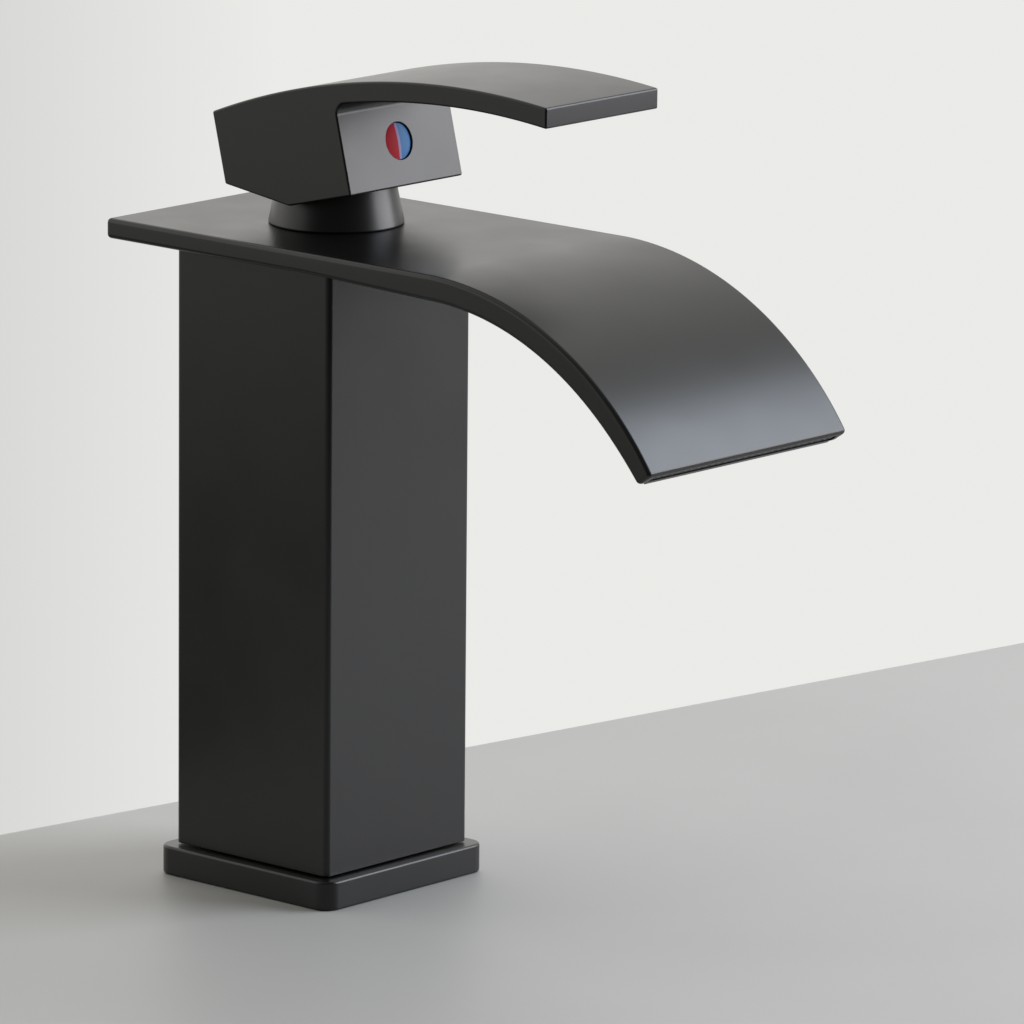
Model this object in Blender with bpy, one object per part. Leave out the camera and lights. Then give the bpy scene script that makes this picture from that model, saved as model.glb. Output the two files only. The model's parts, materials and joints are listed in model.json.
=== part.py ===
"""Single-lever basin mixer: square column, flat spout that turns down at the front, lever on top.

The origin is the middle of the base plate's underside, where the faucet stands on its deck.
+Z is up and the spout points along -Y. Seen from the front, hot is on the left (-X) and cold on
the right (+X). The lever turns about the cartridge axis and lifts about the pivot pin.
"""

import math

import bmesh
import bpy
from mathutils import Matrix, Vector

MM = 0.001

# Clearances
SEAT_GAP = 0.3 * MM  # between pieces that touch or are brazed
TURN_GAP = 0.6 * MM  # around pieces that move
OVERRUN = 1.0 * MM  # a cutter runs this far past the face that it opens

# Base plate and gasket
BASE_RIM = 3.2 * MM  # the plate stands this far out from the column
BASE_HEIGHT = 6.7 * MM
BASE_CORNER_RADIUS = 4.0 * MM
BASE_TOP_EDGE = 1.0 * MM
BASE_BORE_RADIUS = 17.0 * MM
GASKET_WIDTH = 3.0 * MM
GASKET_THICKNESS = 1.5 * MM
GASKET_RIM = 3.6 * MM  # from the plate's edge to the gasket's groove

# Column
COLUMN_LAND = 3.0 * MM  # of the valve body behind the spout's port
COLUMN_WALL = 2.2 * MM
COLUMN_CORNER_RADIUS = 1.7 * MM
INNER_CORNER_RADIUS = 0.4 * MM  # least radius inside a square tube
CORE_CORNER_RADIUS = 0.8 * MM  # of the blocks inside the column
SPOUT_UNDERSIDE = 145.6 * MM  # height of the spout's flat underside over the deck

# Spout
SPOUT_WIDTH = 65.5 * MM
SPOUT_REAR = 36.1 * MM  # from the column's middle to the rear edge
SPOUT_THICKNESS = 4.6 * MM
BEND_START = 60.0 * MM  # from the column's middle to where the spout turns down
BEND_RADIUS = 79.1 * MM  # of the top face
BEND_ANGLE = math.radians(56.1)
BEND_THICKNESS = 5.7 * MM
TIP_THINNING = 1.1 * MM  # the spout loses this much of its thickness towards the tip
SPOUT_TOP_WALL = 1.3 * MM
SPOUT_SIDE_WALL = 2.2 * MM
FLOOR_THICKNESS = 1.2 * MM
SPOUT_EDGE = 1.0 * MM
SPOUT_FLAT_AHEAD = 2.0 * MM  # the flat underside reaches this far ahead of the column
SLEEVE_WALL = 2.0 * MM  # of the ring that carries the cartridge through the waterway
COMB_DEPTH = 5.0 * MM
COMB_RECESS = 0.3 * MM
COMB_TEETH = 26
COMB_TOOTH = 1.0 * MM
COMB_RAIL = 0.4 * MM
COMB_END_BAR = 1.0 * MM

# Cartridge, on the axis that the lever turns about
AXIS_Y = -3.74 * MM
CARTRIDGE_RADIUS = 12.5 * MM
CARTRIDGE_STEP = 1.3 * MM  # the housing narrows by this above its shoulder
CARTRIDGE_WALL = 1.2 * MM
CARTRIDGE_SHOULDER_RISE = 1.1 * MM  # of the shoulder over the fixed disc's underside
CARTRIDGE_BASE_THICKNESS = 3.7 * MM
DISC_THICKNESS = 3.0 * MM
CARRIER_THICKNESS = 4.0 * MM
CARRIER_FLOOR_THICKNESS = 1.4 * MM  # under the stem
STEM_TOE_GAP = 0.4 * MM
STEM_PLAY = 0.4 * MM  # round the swinging stem in the rotor
CARRIER_PLAY = 1.1 * MM  # before and behind the stem, which leans as it swings
MOVING_DISC_RADIUS = 6.6 * MM
PORT_SPREAD = 5.0 * MM  # hot and cold ports from the axis, sideways
PORT_FORWARD = 3.0 * MM  # and forward
PORT_RADIUS = 2.2 * MM
OUTLET_BACK = 5.6 * MM
OUTLET_RADIUS = 2.5 * MM
OUTLET_FALL = 7.0 * MM  # of the outlet way below the pocket's floor
CROSS_WAY_RADIUS = 2.1 * MM  # of the way from the outlet across to the spout's port
SEAL_SECTION = 1.4 * MM
SEAL_WIDTH = 1.0 * MM
ROTOR_FLANGE = 1.6 * MM
ROTOR_RADIUS = 7.2 * MM
ROTOR_OVER_PIVOT = 1.9 * MM
STEM_WIDTH = 4.4 * MM
STEM_DEPTH = 4.8 * MM
STEM_ABOVE = 14.0 * MM  # from the pivot to the top of the stem
STEM_BELOW = 13.0 * MM  # from the pivot to its lower end
STEM_TOE = 0.8 * MM
PIN_RADIUS = 1.2 * MM
PIN_INSET = 0.8 * MM  # of the pin's ends inside the rotor

# Collar and lock nut
COLLAR_LIP = 1.1 * MM  # of the collar round the nut's flange
COLLAR_TAPER = 1.6 / 7.5  # radius lost for each unit of height
COLLAR_HEIGHT = 11.0 * MM
COLLAR_WALL = 1.2 * MM
COLLAR_EDGE = 0.35 * MM
NUT_FLANGE = 1.5 * MM
NUT_FLANGE_LIP = 1.2 * MM  # from the thread out to the flange's rim
NUT_THREAD_OVER = 0.2 * MM  # the thread is this much wider than the cartridge

# Valve body, risers and inlet block
VALVE_BODY_LENGTH = 29.0 * MM
RISER_RADIUS = 4.0 * MM
RISER_WALL = 1.0 * MM
RISER_SPREAD = 6.5 * MM
RISER_SOCKET = 6.0 * MM
SPOUT_PORT_RADIUS = 3.0 * MM
SPOUT_PORT_LAND = 0.54 * MM  # of metal between the sleeve and the port
CROSS_WAY_RISE = 0.5 * MM  # of the cross way over the bottoms of the ways that it joins
INLET_BLOCK_HEIGHT = 23.0 * MM
HOSE_PORT_RADIUS = 4.6 * MM
HOSE_PORT_DEPTH = 11.0 * MM
HOSE_PORT_SPREAD = 8.0 * MM
HOSE_BOSS_RADIUS = 6.2 * MM
HOSE_BOSS_HEIGHT = 1.0 * MM

# Lever, in its own frame: closed, with the pivot at the origin
PIVOT_OVER_SPOUT = 9.8 * MM
LIFT_AT_REST = math.radians(14.0)
LIFT_MOST = math.radians(25.0)
LEVER_SIDE_REACH = 3.1 * MM  # from the collar out to the lever's side
LEVER_BACK_REACH = 2.7 * MM  # from the nut's flange out to the lever's back
LEVER_FRONT_REACH = 7.0 * MM  # and to its front
LEVER_FRONT_CLEARANCE = 1.7 * MM  # from the flange to the cavity's front wall
LEVER_SLOPE_START = 2.3 * MM  # from the stem's socket to where the ceiling steps up
LEVER_BOTTOM = 4.1 * MM
LEVER_HEEL = 1.64 * MM  # from the pivot forward to where the rear chamfer starts
LEVER_HEEL_ANGLE = math.radians(21.5)
LEVER_CREST_FORWARD = 10.0 * MM
LEVER_CREST_HEIGHT = 21.2 * MM
LEVER_CROWN_RADIUS = 205.0 * MM
BLADE_THICKNESS = 4.6 * MM
BLADE_TIP = 82.9 * MM
BLADE_FILLET = 2.5 * MM
LEVER_EDGE = 0.7 * MM
LEVER_WALL = 3.0 * MM
LEVER_BACK_WALL = 1.4 * MM
LEVER_WEB = 3.1 * MM  # height of the cavity's front ceiling over the pivot
LEVER_CEILING = 8.5 * MM
PLUG_RADIUS = 3.9 * MM
PLUG_HEIGHT = 5.96 * MM
PLUG_THICKNESS = 1.6 * MM
PLUG_INSET = 0.3 * MM
MARK_THICKNESS = 0.5 * MM
MARK_RIM = 0.3 * MM
MARK_BAND = 0.8 * MM  # pale band between the two colours
GRUB_RADIUS = 1.9 * MM
GRUB_LENGTH = 6.5 * MM
GRUB_KEY = 1.0 * MM
GRUB_KEY_DEPTH = 2.0 * MM

# Clamp below the deck
DECK_THICKNESS = 30.0 * MM
STUD_RADIUS = 4.0 * MM
STUD_LENGTH = 80.0 * MM
STUD_BACK = 9.0 * MM
STUD_ENGAGED = 15.0 * MM
CLAMP_RADIUS = 24.0 * MM
CLAMP_SLOT = 30.6 * MM
CLAMP_SLOT_BACK = 1.5 * MM
PAD_THICKNESS = 3.0 * MM
HORSESHOE_THICKNESS = 2.5 * MM
NUT_HEIGHT = 6.5 * MM
NUT_ACROSS_FLATS = 13.0 * MM
CLAMP_SLOT_CORNER = 4.0 * MM
STUD_CHAMFER = 0.6 * MM

# Sides of round pieces
SMALL_ROUND = 20
MIDDLE_ROUND = 32
LARGE_ROUND = 48

# Sizes and heights that follow from those above
CARTRIDGE_NECK_RADIUS = CARTRIDGE_RADIUS - CARTRIDGE_STEP
CARTRIDGE_CORE_RADIUS = CARTRIDGE_NECK_RADIUS - CARTRIDGE_WALL  # bore of the housing
NUT_THREAD_RADIUS = CARTRIDGE_RADIUS + NUT_THREAD_OVER
NUT_FLANGE_RADIUS = NUT_THREAD_RADIUS + NUT_FLANGE_LIP
COLLAR_RADIUS = NUT_FLANGE_RADIUS + SEAT_GAP + COLLAR_LIP
SLEEVE_BORE_RADIUS = NUT_THREAD_RADIUS + SEAT_GAP
SLEEVE_RADIUS = SLEEVE_BORE_RADIUS + SLEEVE_WALL
SPOUT_PORT_BACK = AXIS_Y + SLEEVE_RADIUS + SPOUT_PORT_LAND + SPOUT_PORT_RADIUS
CORE_SIDE = 2 * (SPOUT_PORT_BACK + SPOUT_PORT_RADIUS + COLUMN_LAND)
COLUMN_SIDE = CORE_SIDE + 2 * (SEAT_GAP + COLUMN_WALL)
BASE_SIDE = COLUMN_SIDE + 2 * BASE_RIM
LEVER_WIDTH = 2 * (COLLAR_RADIUS + LEVER_SIDE_REACH)
LEVER_BACK = NUT_FLANGE_RADIUS + LEVER_BACK_REACH
LEVER_FRONT = NUT_FLANGE_RADIUS + LEVER_FRONT_REACH
SPOUT_TOP = SPOUT_UNDERSIDE + SPOUT_THICKNESS
PIVOT_HEIGHT = SPOUT_TOP + PIVOT_OVER_SPOUT
COLUMN_TOP = SPOUT_UNDERSIDE - SEAT_GAP
COLUMN_BOTTOM = BASE_HEIGHT + SEAT_GAP
STEM_END = PIVOT_HEIGHT - STEM_BELOW
CARRIER_FLOOR = STEM_END - STEM_TOE_GAP
CARRIER_BOTTOM = CARRIER_FLOOR - CARRIER_FLOOR_THICKNESS
CARRIER_TOP = CARRIER_BOTTOM + CARRIER_THICKNESS
MOVING_DISC_BOTTOM = CARRIER_BOTTOM - SEAT_GAP - DISC_THICKNESS
FIXED_DISC_BOTTOM = MOVING_DISC_BOTTOM - SEAT_GAP - DISC_THICKNESS
CARTRIDGE_BASE_BOTTOM = FIXED_DISC_BOTTOM - SEAT_GAP - CARTRIDGE_BASE_THICKNESS
POCKET_FLOOR = CARTRIDGE_BASE_BOTTOM - 2 * SEAT_GAP
CARTRIDGE_SHOULDER = FIXED_DISC_BOTTOM + CARTRIDGE_SHOULDER_RISE
ROTOR_BOTTOM = CARRIER_TOP + SEAT_GAP
ROTOR_FLANGE_TOP = ROTOR_BOTTOM + ROTOR_FLANGE
HOUSING_TOP = ROTOR_FLANGE_TOP + SEAT_GAP + CARTRIDGE_WALL
COLLAR_BOTTOM = SPOUT_TOP + SEAT_GAP
INLET_BLOCK_TOP = COLUMN_BOTTOM + INLET_BLOCK_HEIGHT
VALVE_BODY_BOTTOM = COLUMN_TOP - VALVE_BODY_LENGTH
PORT_Y = AXIS_Y - PORT_FORWARD


# ---- helpers

def paint(name, colour, roughness, metallic):
    """A plain finish: one Principled BSDF."""
    material = bpy.data.materials.get(name)
    if material is None:
        material = bpy.data.materials.new(name)
        material.use_nodes = True
        shader = material.node_tree.nodes["Principled BSDF"]
        shader.inputs["Base Color"].default_value = (*colour, 1.0)
        shader.inputs["Roughness"].default_value = roughness
        shader.inputs["Metallic"].default_value = metallic
    return material


def matte_black():
    return paint("matte_black", (0.035, 0.034, 0.033), 0.4, 0.3)


def cast_brass():
    return paint("cast_brass", (0.62, 0.47, 0.22), 0.35, 1.0)


def steel():
    return paint("steel", (0.62, 0.62, 0.63), 0.3, 1.0)


def white_plastic():
    return paint("white_plastic", (0.8, 0.8, 0.78), 0.45, 0.0)


def grey_plastic():
    return paint("grey_plastic", (0.22, 0.23, 0.24), 0.5, 0.0)


def pale_ceramic():
    return paint("pale_ceramic", (0.85, 0.84, 0.8), 0.2, 0.0)


def black_rubber():
    return paint("black_rubber", (0.03, 0.03, 0.03), 0.8, 0.0)


def red_plastic():
    return paint("red_plastic", (0.6, 0.05, 0.04), 0.4, 0.0)


def blue_plastic():
    return paint("blue_plastic", (0.04, 0.12, 0.5), 0.4, 0.0)


def place(name, mesh, material=None, parent=None):
    """Links one mesh as an object. Without a material it is a cutter, which isn't rendered."""
    mesh_data = bpy.data.meshes.new(name)
    bmesh.ops.recalc_face_normals(mesh, faces=mesh.faces)
    mesh.to_mesh(mesh_data)
    mesh.free()
    thing = bpy.data.objects.new(name, mesh_data)
    bpy.context.scene.collection.objects.link(thing)
    if material is None:
        thing.hide_render = True
        thing.display_type = "WIRE"
    else:
        mesh_data.materials.append(material)
        mesh_data.shade_smooth()
        mesh_data.set_sharp_from_angle(angle=math.radians(30))
    if parent is not None:
        thing.parent = parent
    return thing


def cut(thing, *cutters):
    for cutter in cutters:
        boolean = thing.modifiers.new(f"cut_{cutter.name}", "BOOLEAN")
        boolean.operation = "DIFFERENCE"
        boolean.solver = "EXACT"
        boolean.object = cutter


def join(thing, *others):
    for other in others:
        boolean = thing.modifiers.new(f"join_{other.name}", "BOOLEAN")
        boolean.operation = "UNION"
        boolean.solver = "EXACT"
        boolean.object = other


def prism(outline, start, end, across="Z"):
    """Extrudes a closed outline of 2-D points from start to end along one axis.

    The outline lies in (x, y) across Z, in (y, z) across X, and in (x, z) across Y.
    """
    spots = {
        "Z": lambda a, b, c: (a, b, c),
        "X": lambda a, b, c: (c, a, b),
        "Y": lambda a, b, c: (a, c, b),
    }[across]
    mesh = bmesh.new()
    face = mesh.faces.new([mesh.verts.new(spots(a, b, start)) for a, b in outline])
    grown = bmesh.ops.extrude_face_region(mesh, geom=[face])
    shift = Vector(spots(0, 0, end - start))
    moved = [item for item in grown["geom"] if isinstance(item, bmesh.types.BMVert)]
    bmesh.ops.translate(mesh, verts=moved, vec=shift)
    return mesh


def round_edges(mesh, width, segments=2, chosen=None, sharper_than=math.radians(30)):
    """Bevels the sharp edges, or those of them that chosen(edge) accepts."""
    mesh.normal_update()
    edges = [
        edge
        for edge in mesh.edges
        if edge.calc_face_angle(0) > sharper_than and (chosen is None or chosen(edge))
    ]
    bmesh.ops.bevel(
        mesh, geom=edges, offset=width, segments=segments, profile=0.5, affect="EDGES"
    )
    return mesh


def turned(profile, centre=(0.0, 0.0), sides=MIDDLE_ROUND):
    """Spins a closed profile of (radius, height) points about a vertical axis."""
    mesh = bmesh.new()
    middle = Vector((centre[0], centre[1], 0.0))
    spots = [mesh.verts.new(middle + Vector((radius, 0.0, height))) for radius, height in profile]
    edges = [mesh.edges.new((spots[i], spots[(i + 1) % len(spots)])) for i in range(len(spots))]
    bmesh.ops.spin(
        mesh,
        geom=spots + edges,
        cent=middle,
        axis=(0.0, 0.0, 1.0),
        angle=math.tau,
        steps=sides,
        use_merge=True,
    )
    bmesh.ops.remove_doubles(mesh, verts=mesh.verts, dist=1e-6)
    flat = [face for face in mesh.faces if face.calc_area() < 1e-12]
    bmesh.ops.delete(mesh, geom=flat, context="FACES")
    return mesh


def ring(inner, outer, bottom, top, centre=(0.0, 0.0), sides=MIDDLE_ROUND):
    profile = [(outer, top), (outer, bottom), (inner, bottom), (inner, top)]
    return turned(profile, centre, sides)


def rod(radius, start, end, centre=(0.0, 0.0), sides=SMALL_ROUND, across="Z"):
    """A closed cylinder along an axis, centred on a point of the plane across it."""
    outline = [
        (
            centre[0] + radius * math.cos(math.tau * i / sides),
            centre[1] + radius * math.sin(math.tau * i / sides),
        )
        for i in range(sides)
    ]
    return prism(outline, start, end, across)


def rounded_square(side, radius, steps=4):
    """Outline of a square about the origin, with arcs at its corners."""
    reach = side / 2 - radius
    corners = [(reach, reach), (-reach, reach), (-reach, -reach), (reach, -reach)]
    return [
        (
            x + radius * math.cos(math.pi / 2 * (corner + i / steps)),
            y + radius * math.sin(math.pi / 2 * (corner + i / steps)),
        )
        for corner, (x, y) in enumerate(corners)
        for i in range(steps + 1)
    ]


def square_tube(outer, corner, wall, bottom, top):
    """A square tube with rounded corners, open at both ends."""
    mesh = bmesh.new()
    loops = []
    inner_corner = max(corner - wall, INNER_CORNER_RADIUS)
    for side, radius in ((outer, corner), (outer - 2 * wall, inner_corner)):
        for height in (bottom, top):
            outline = rounded_square(side, radius, steps=3)
            loops.append([mesh.verts.new((x, y, height)) for x, y in outline])
    outer_low, outer_high, inner_low, inner_high = loops
    count = len(outer_low)
    for first, second in (
        (outer_low, outer_high),
        (outer_high, inner_high),
        (inner_high, inner_low),
        (inner_low, outer_low),
    ):
        for i in range(count):
            j = (i + 1) % count
            mesh.faces.new((first[i], first[j], second[j], second[i]))
    return mesh


# ---- base and column

def make_base():
    plate = place("base_plate", base_plate_mesh(), matte_black())
    groove_outer = BASE_SIDE - 2 * GASKET_RIM
    groove_side = groove_outer - 2 * GASKET_WIDTH - 4 * SEAT_GAP
    groove = square_tube(
        groove_outer,
        BASE_CORNER_RADIUS,
        (groove_outer - groove_side) / 2,
        -GASKET_THICKNESS,
        GASKET_THICKNESS + SEAT_GAP,
    )
    cut(plate, place("gasket_groove", groove))
    bore = rod(BASE_BORE_RADIUS, -BASE_HEIGHT, 2 * BASE_HEIGHT, sides=LARGE_ROUND)
    cut(plate, place("base_bore", bore))
    gasket = square_tube(
        groove_outer - 2 * SEAT_GAP,
        BASE_CORNER_RADIUS - SEAT_GAP,
        GASKET_WIDTH,
        0.0,
        GASKET_THICKNESS,
    )
    place("base_gasket", gasket, black_rubber())


def base_plate_mesh():
    mesh = prism(rounded_square(BASE_SIDE, BASE_CORNER_RADIUS, steps=5), 0.0, BASE_HEIGHT)

    def upper(edge):
        return min(spot.co.z for spot in edge.verts) > BASE_HEIGHT / 2

    return round_edges(mesh, BASE_TOP_EDGE, 3, upper, math.radians(60))


def make_column():
    tube = square_tube(
        COLUMN_SIDE, COLUMN_CORNER_RADIUS, COLUMN_WALL, COLUMN_BOTTOM, COLUMN_TOP
    )
    place("column_shell", tube, matte_black())


def make_inlet_block():
    outline = rounded_square(CORE_SIDE, CORE_CORNER_RADIUS, steps=2)
    block = place("inlet_block", prism(outline, COLUMN_BOTTOM, INLET_BLOCK_TOP), cast_brass())
    for side, name in ((-1, "hot"), (1, "cold")):
        spot = (side * HOSE_PORT_SPREAD, PORT_Y)
        boss_low = COLUMN_BOTTOM - HOSE_BOSS_HEIGHT
        boss = rod(HOSE_BOSS_RADIUS, boss_low, COLUMN_BOTTOM + OVERRUN, spot)
        join(block, place(f"boss_{name}", boss))
    for side, name in ((-1, "hot"), (1, "cold")):
        port_mouth = COLUMN_BOTTOM - 2 * HOSE_BOSS_HEIGHT
        port_end = COLUMN_BOTTOM + HOSE_PORT_DEPTH
        spot = (side * HOSE_PORT_SPREAD, PORT_Y)
        port = rod(HOSE_PORT_RADIUS, port_mouth, port_end, spot)
        # The drilled way is a little off both centres, so that it opens into both.
        way_spot = (side * (HOSE_PORT_SPREAD + RISER_SPREAD) / 2, PORT_Y)
        way_radius = RISER_RADIUS - RISER_WALL
        way = rod(way_radius, port_end - OVERRUN, INLET_BLOCK_TOP - OVERRUN, way_spot)
        socket = rod(
            RISER_RADIUS + SEAT_GAP,
            INLET_BLOCK_TOP - RISER_SOCKET,
            INLET_BLOCK_TOP + OVERRUN,
            (side * RISER_SPREAD, PORT_Y),
        )
        cut(block, place(f"hose_port_{name}", port), place(f"inlet_way_{name}", way))
        cut(block, place(f"low_socket_{name}", socket))
    stud_hole = rod(
        STUD_RADIUS + SEAT_GAP,
        COLUMN_BOTTOM - OVERRUN,
        COLUMN_BOTTOM + STUD_ENGAGED + SEAT_GAP,
        (0.0, STUD_BACK),
    )
    cut(block, place("stud_hole", stud_hole))


def make_risers():
    for side, name in ((-1, "hot"), (1, "cold")):
        tube = ring(
            RISER_RADIUS - RISER_WALL,
            RISER_RADIUS,
            INLET_BLOCK_TOP - RISER_SOCKET + SEAT_GAP,
            VALVE_BODY_BOTTOM + RISER_SOCKET - SEAT_GAP,
            (side * RISER_SPREAD, PORT_Y),
            SMALL_ROUND,
        )
        place(f"riser_tube_{name}", tube, cast_brass())


def make_valve_body():
    outline = rounded_square(CORE_SIDE, CORE_CORNER_RADIUS, steps=2)
    body = place("valve_body", prism(outline, VALVE_BODY_BOTTOM, COLUMN_TOP), cast_brass())
    pocket_radius = CARTRIDGE_RADIUS + SEAT_GAP
    thread_radius = NUT_THREAD_RADIUS + SEAT_GAP
    pocket = turned(
        [
            (0.0, COLUMN_TOP + OVERRUN),
            (thread_radius, COLUMN_TOP + OVERRUN),
            (thread_radius, CARTRIDGE_SHOULDER),
            (pocket_radius, CARTRIDGE_SHOULDER),
            (pocket_radius, POCKET_FLOOR),
            (0.0, POCKET_FLOOR),
        ],
        (0.0, AXIS_Y),
    )
    cut(body, place("cartridge_pocket", pocket))
    for side, name in ((-1, "hot"), (1, "cold")):
        socket = rod(
            RISER_RADIUS + SEAT_GAP,
            VALVE_BODY_BOTTOM - OVERRUN,
            VALVE_BODY_BOTTOM + RISER_SOCKET,
            (side * RISER_SPREAD, PORT_Y),
        )
        way = rod(
            PORT_RADIUS,
            VALVE_BODY_BOTTOM + RISER_SOCKET - OVERRUN,
            POCKET_FLOOR + OVERRUN,
            (side * PORT_SPREAD, PORT_Y),
        )
        cut(body, place(f"high_socket_{name}", socket), place(f"supply_way_{name}", way))
    # The mixed water falls through the pocket floor, crosses back and rises to the spout.
    floor_low = POCKET_FLOOR - OUTLET_FALL
    fall = rod(OUTLET_RADIUS, floor_low, POCKET_FLOOR + OVERRUN, (0.0, AXIS_Y + OUTLET_BACK))
    rise = rod(SPOUT_PORT_RADIUS, floor_low, COLUMN_TOP + OVERRUN, (0.0, SPOUT_PORT_BACK))
    cross = rod(
        CROSS_WAY_RADIUS,
        AXIS_Y + OUTLET_BACK,
        SPOUT_PORT_BACK,
        (0.0, floor_low + CROSS_WAY_RADIUS + CROSS_WAY_RISE),
        across="Y",
    )
    cut(body, place("outlet_fall", fall), place("outlet_rise", rise), place("outlet_cross", cross))


# ---- spout

def bend_point(radius, angle):
    """A point of the spout's side view at this angle along the bend."""
    middle = SPOUT_TOP - BEND_RADIUS
    return (-BEND_START - radius * math.sin(angle), middle + radius * math.cos(angle))


def low_radius(angle, inset=0.0):
    """Radius of the underside, or of a line above it, where the spout thins towards its tip."""
    thinning = TIP_THINNING * (angle / BEND_ANGLE) ** 6
    return BEND_RADIUS - BEND_THICKNESS + thinning + inset


def spout_line(inset_top, inset_bottom):
    """Top and bottom lines of the spout's side view, moved inward, from the rear to the tip."""
    steps = 14
    angles = [BEND_ANGLE * i / steps for i in range(steps + 1)]
    top = [(SPOUT_REAR, SPOUT_TOP - inset_top)]
    top += [bend_point(BEND_RADIUS - inset_top, angle) for angle in angles]
    bottom = [
        (SPOUT_REAR, SPOUT_UNDERSIDE + inset_bottom),
        (-COLUMN_SIDE / 2 - SPOUT_FLAT_AHEAD, SPOUT_UNDERSIDE + inset_bottom),
    ]
    bottom += [bend_point(low_radius(angle, inset_bottom), angle) for angle in angles]
    return top, bottom


def closed_outline(top, bottom):
    return top + bottom[::-1]


def make_spout():
    top, bottom = spout_line(0.0, 0.0)
    half = SPOUT_WIDTH / 2
    outer = prism(closed_outline(top, bottom), -half, half, across="X")
    shell = place("spout_shell", round_edges(outer, SPOUT_EDGE), matte_black())

    inner_half = half - SPOUT_SIDE_WALL
    inner_top, _ = spout_line(SPOUT_TOP_WALL, 0.0)
    _, inner_bottom = spout_line(0.0, -3 * OVERRUN)
    rear = SPOUT_REAR - SPOUT_SIDE_WALL
    inner_top[0] = (rear, inner_top[0][1])
    inner_bottom[0] = (rear, inner_bottom[0][1])
    beyond = (-math.cos(BEND_ANGLE) * 4 * OVERRUN, -math.sin(BEND_ANGLE) * 4 * OVERRUN)
    for line in (inner_top, inner_bottom):
        line.append((line[-1][0] + beyond[0], line[-1][1] + beyond[1]))
    channel = prism(closed_outline(inner_top, inner_bottom), -inner_half, inner_half, across="X")
    waterway = place("waterway", channel)
    below = SPOUT_UNDERSIDE - 4 * OVERRUN
    sleeve = rod(SLEEVE_RADIUS, below, SPOUT_TOP + OVERRUN, (0.0, AXIS_Y), LARGE_ROUND)
    cut(waterway, place("sleeve", sleeve))
    cut(shell, waterway)
    bore = rod(
        SLEEVE_BORE_RADIUS, SPOUT_UNDERSIDE - OVERRUN, SPOUT_TOP + OVERRUN, (0.0, AXIS_Y), LARGE_ROUND
    )
    cut(shell, place("sleeve_bore", bore))

    make_spout_floor(inner_half - SEAT_GAP, rear - SEAT_GAP)
    make_comb(inner_half - SEAT_GAP)
    seal = ring(
        SPOUT_PORT_RADIUS + SEAT_GAP,
        SPOUT_PORT_RADIUS + SEAT_GAP + SEAL_WIDTH,
        COLUMN_TOP - SEAL_WIDTH,
        COLUMN_TOP - SEAT_GAP / 3,
        (0.0, SPOUT_PORT_BACK),
        SMALL_ROUND,
    )
    groove = ring(
        SPOUT_PORT_RADIUS - SEAT_GAP,
        SPOUT_PORT_RADIUS + 2 * SEAT_GAP + SEAL_WIDTH,
        COLUMN_TOP - SEAL_WIDTH - SEAT_GAP,
        COLUMN_TOP + OVERRUN,
        (0.0, SPOUT_PORT_BACK),
        SMALL_ROUND,
    )
    cut(bpy.data.objects["valve_body"], place("spout_seal_groove", groove))
    place("spout_seal", seal, black_rubber())


def make_spout_floor(half, rear):
    _, low = spout_line(0.0, 0.0)
    _, high = spout_line(0.0, FLOOR_THICKNESS)
    low[0] = (rear, low[0][1])
    high[0] = (rear, high[0][1])
    floor = place(
        "spout_floor", prism(closed_outline(high, low), -half, half, across="X"), matte_black()
    )
    around = rod(
        SLEEVE_RADIUS + SEAT_GAP,
        SPOUT_UNDERSIDE - OVERRUN,
        SPOUT_TOP,
        (0.0, AXIS_Y),
        LARGE_ROUND,
    )
    port = rod(
        SPOUT_PORT_RADIUS, SPOUT_UNDERSIDE - OVERRUN, SPOUT_TOP, (0.0, SPOUT_PORT_BACK)
    )
    cut(floor, place("floor_sleeve_hole", around), place("floor_port", port))


def make_comb(half):
    """A flat comb in the outlet slot: two rails joined by a row of teeth."""
    last = BEND_ANGLE - COMB_RECESS / BEND_RADIUS
    first = last - COMB_DEPTH / BEND_RADIUS
    steps = 3

    def band(inset, overrun):
        """Side view of the waterway between two angles, narrowed by inset at top and bottom."""
        start = first - overrun / BEND_RADIUS
        sweep = last + overrun / BEND_RADIUS - start
        angles = [start + sweep * i / steps for i in range(steps + 1)]
        upper = BEND_RADIUS - SPOUT_TOP_WALL - inset
        top = [bend_point(upper, angle) for angle in angles]
        low = [bend_point(low_radius(angle, FLOOR_THICKNESS + inset), angle) for angle in angles]
        return closed_outline(top, low)

    outline = band(SEAT_GAP, 0.0)
    comb = place("outlet_comb", prism(outline, -half, half, across="X"), grey_plastic())
    opening = band(SEAT_GAP + COMB_RAIL, OVERRUN / 2)
    pitch = (2 * half - 2 * COMB_END_BAR + COMB_TOOTH) / (COMB_TEETH + 1)
    slots = bmesh.new()
    for i in range(COMB_TEETH + 1):
        start = -half + COMB_END_BAR + i * pitch
        slot = prism(opening, start, start + pitch - COMB_TOOTH, across="X")
        bmesh.ops.recalc_face_normals(slot, faces=slot.faces)
        held = bpy.data.meshes.new("slot")
        slot.to_mesh(held)
        slot.free()
        slots.from_mesh(held)
        bpy.data.meshes.remove(held)
    cut(comb, place("comb_slots", slots))


# ---- cartridge

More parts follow.
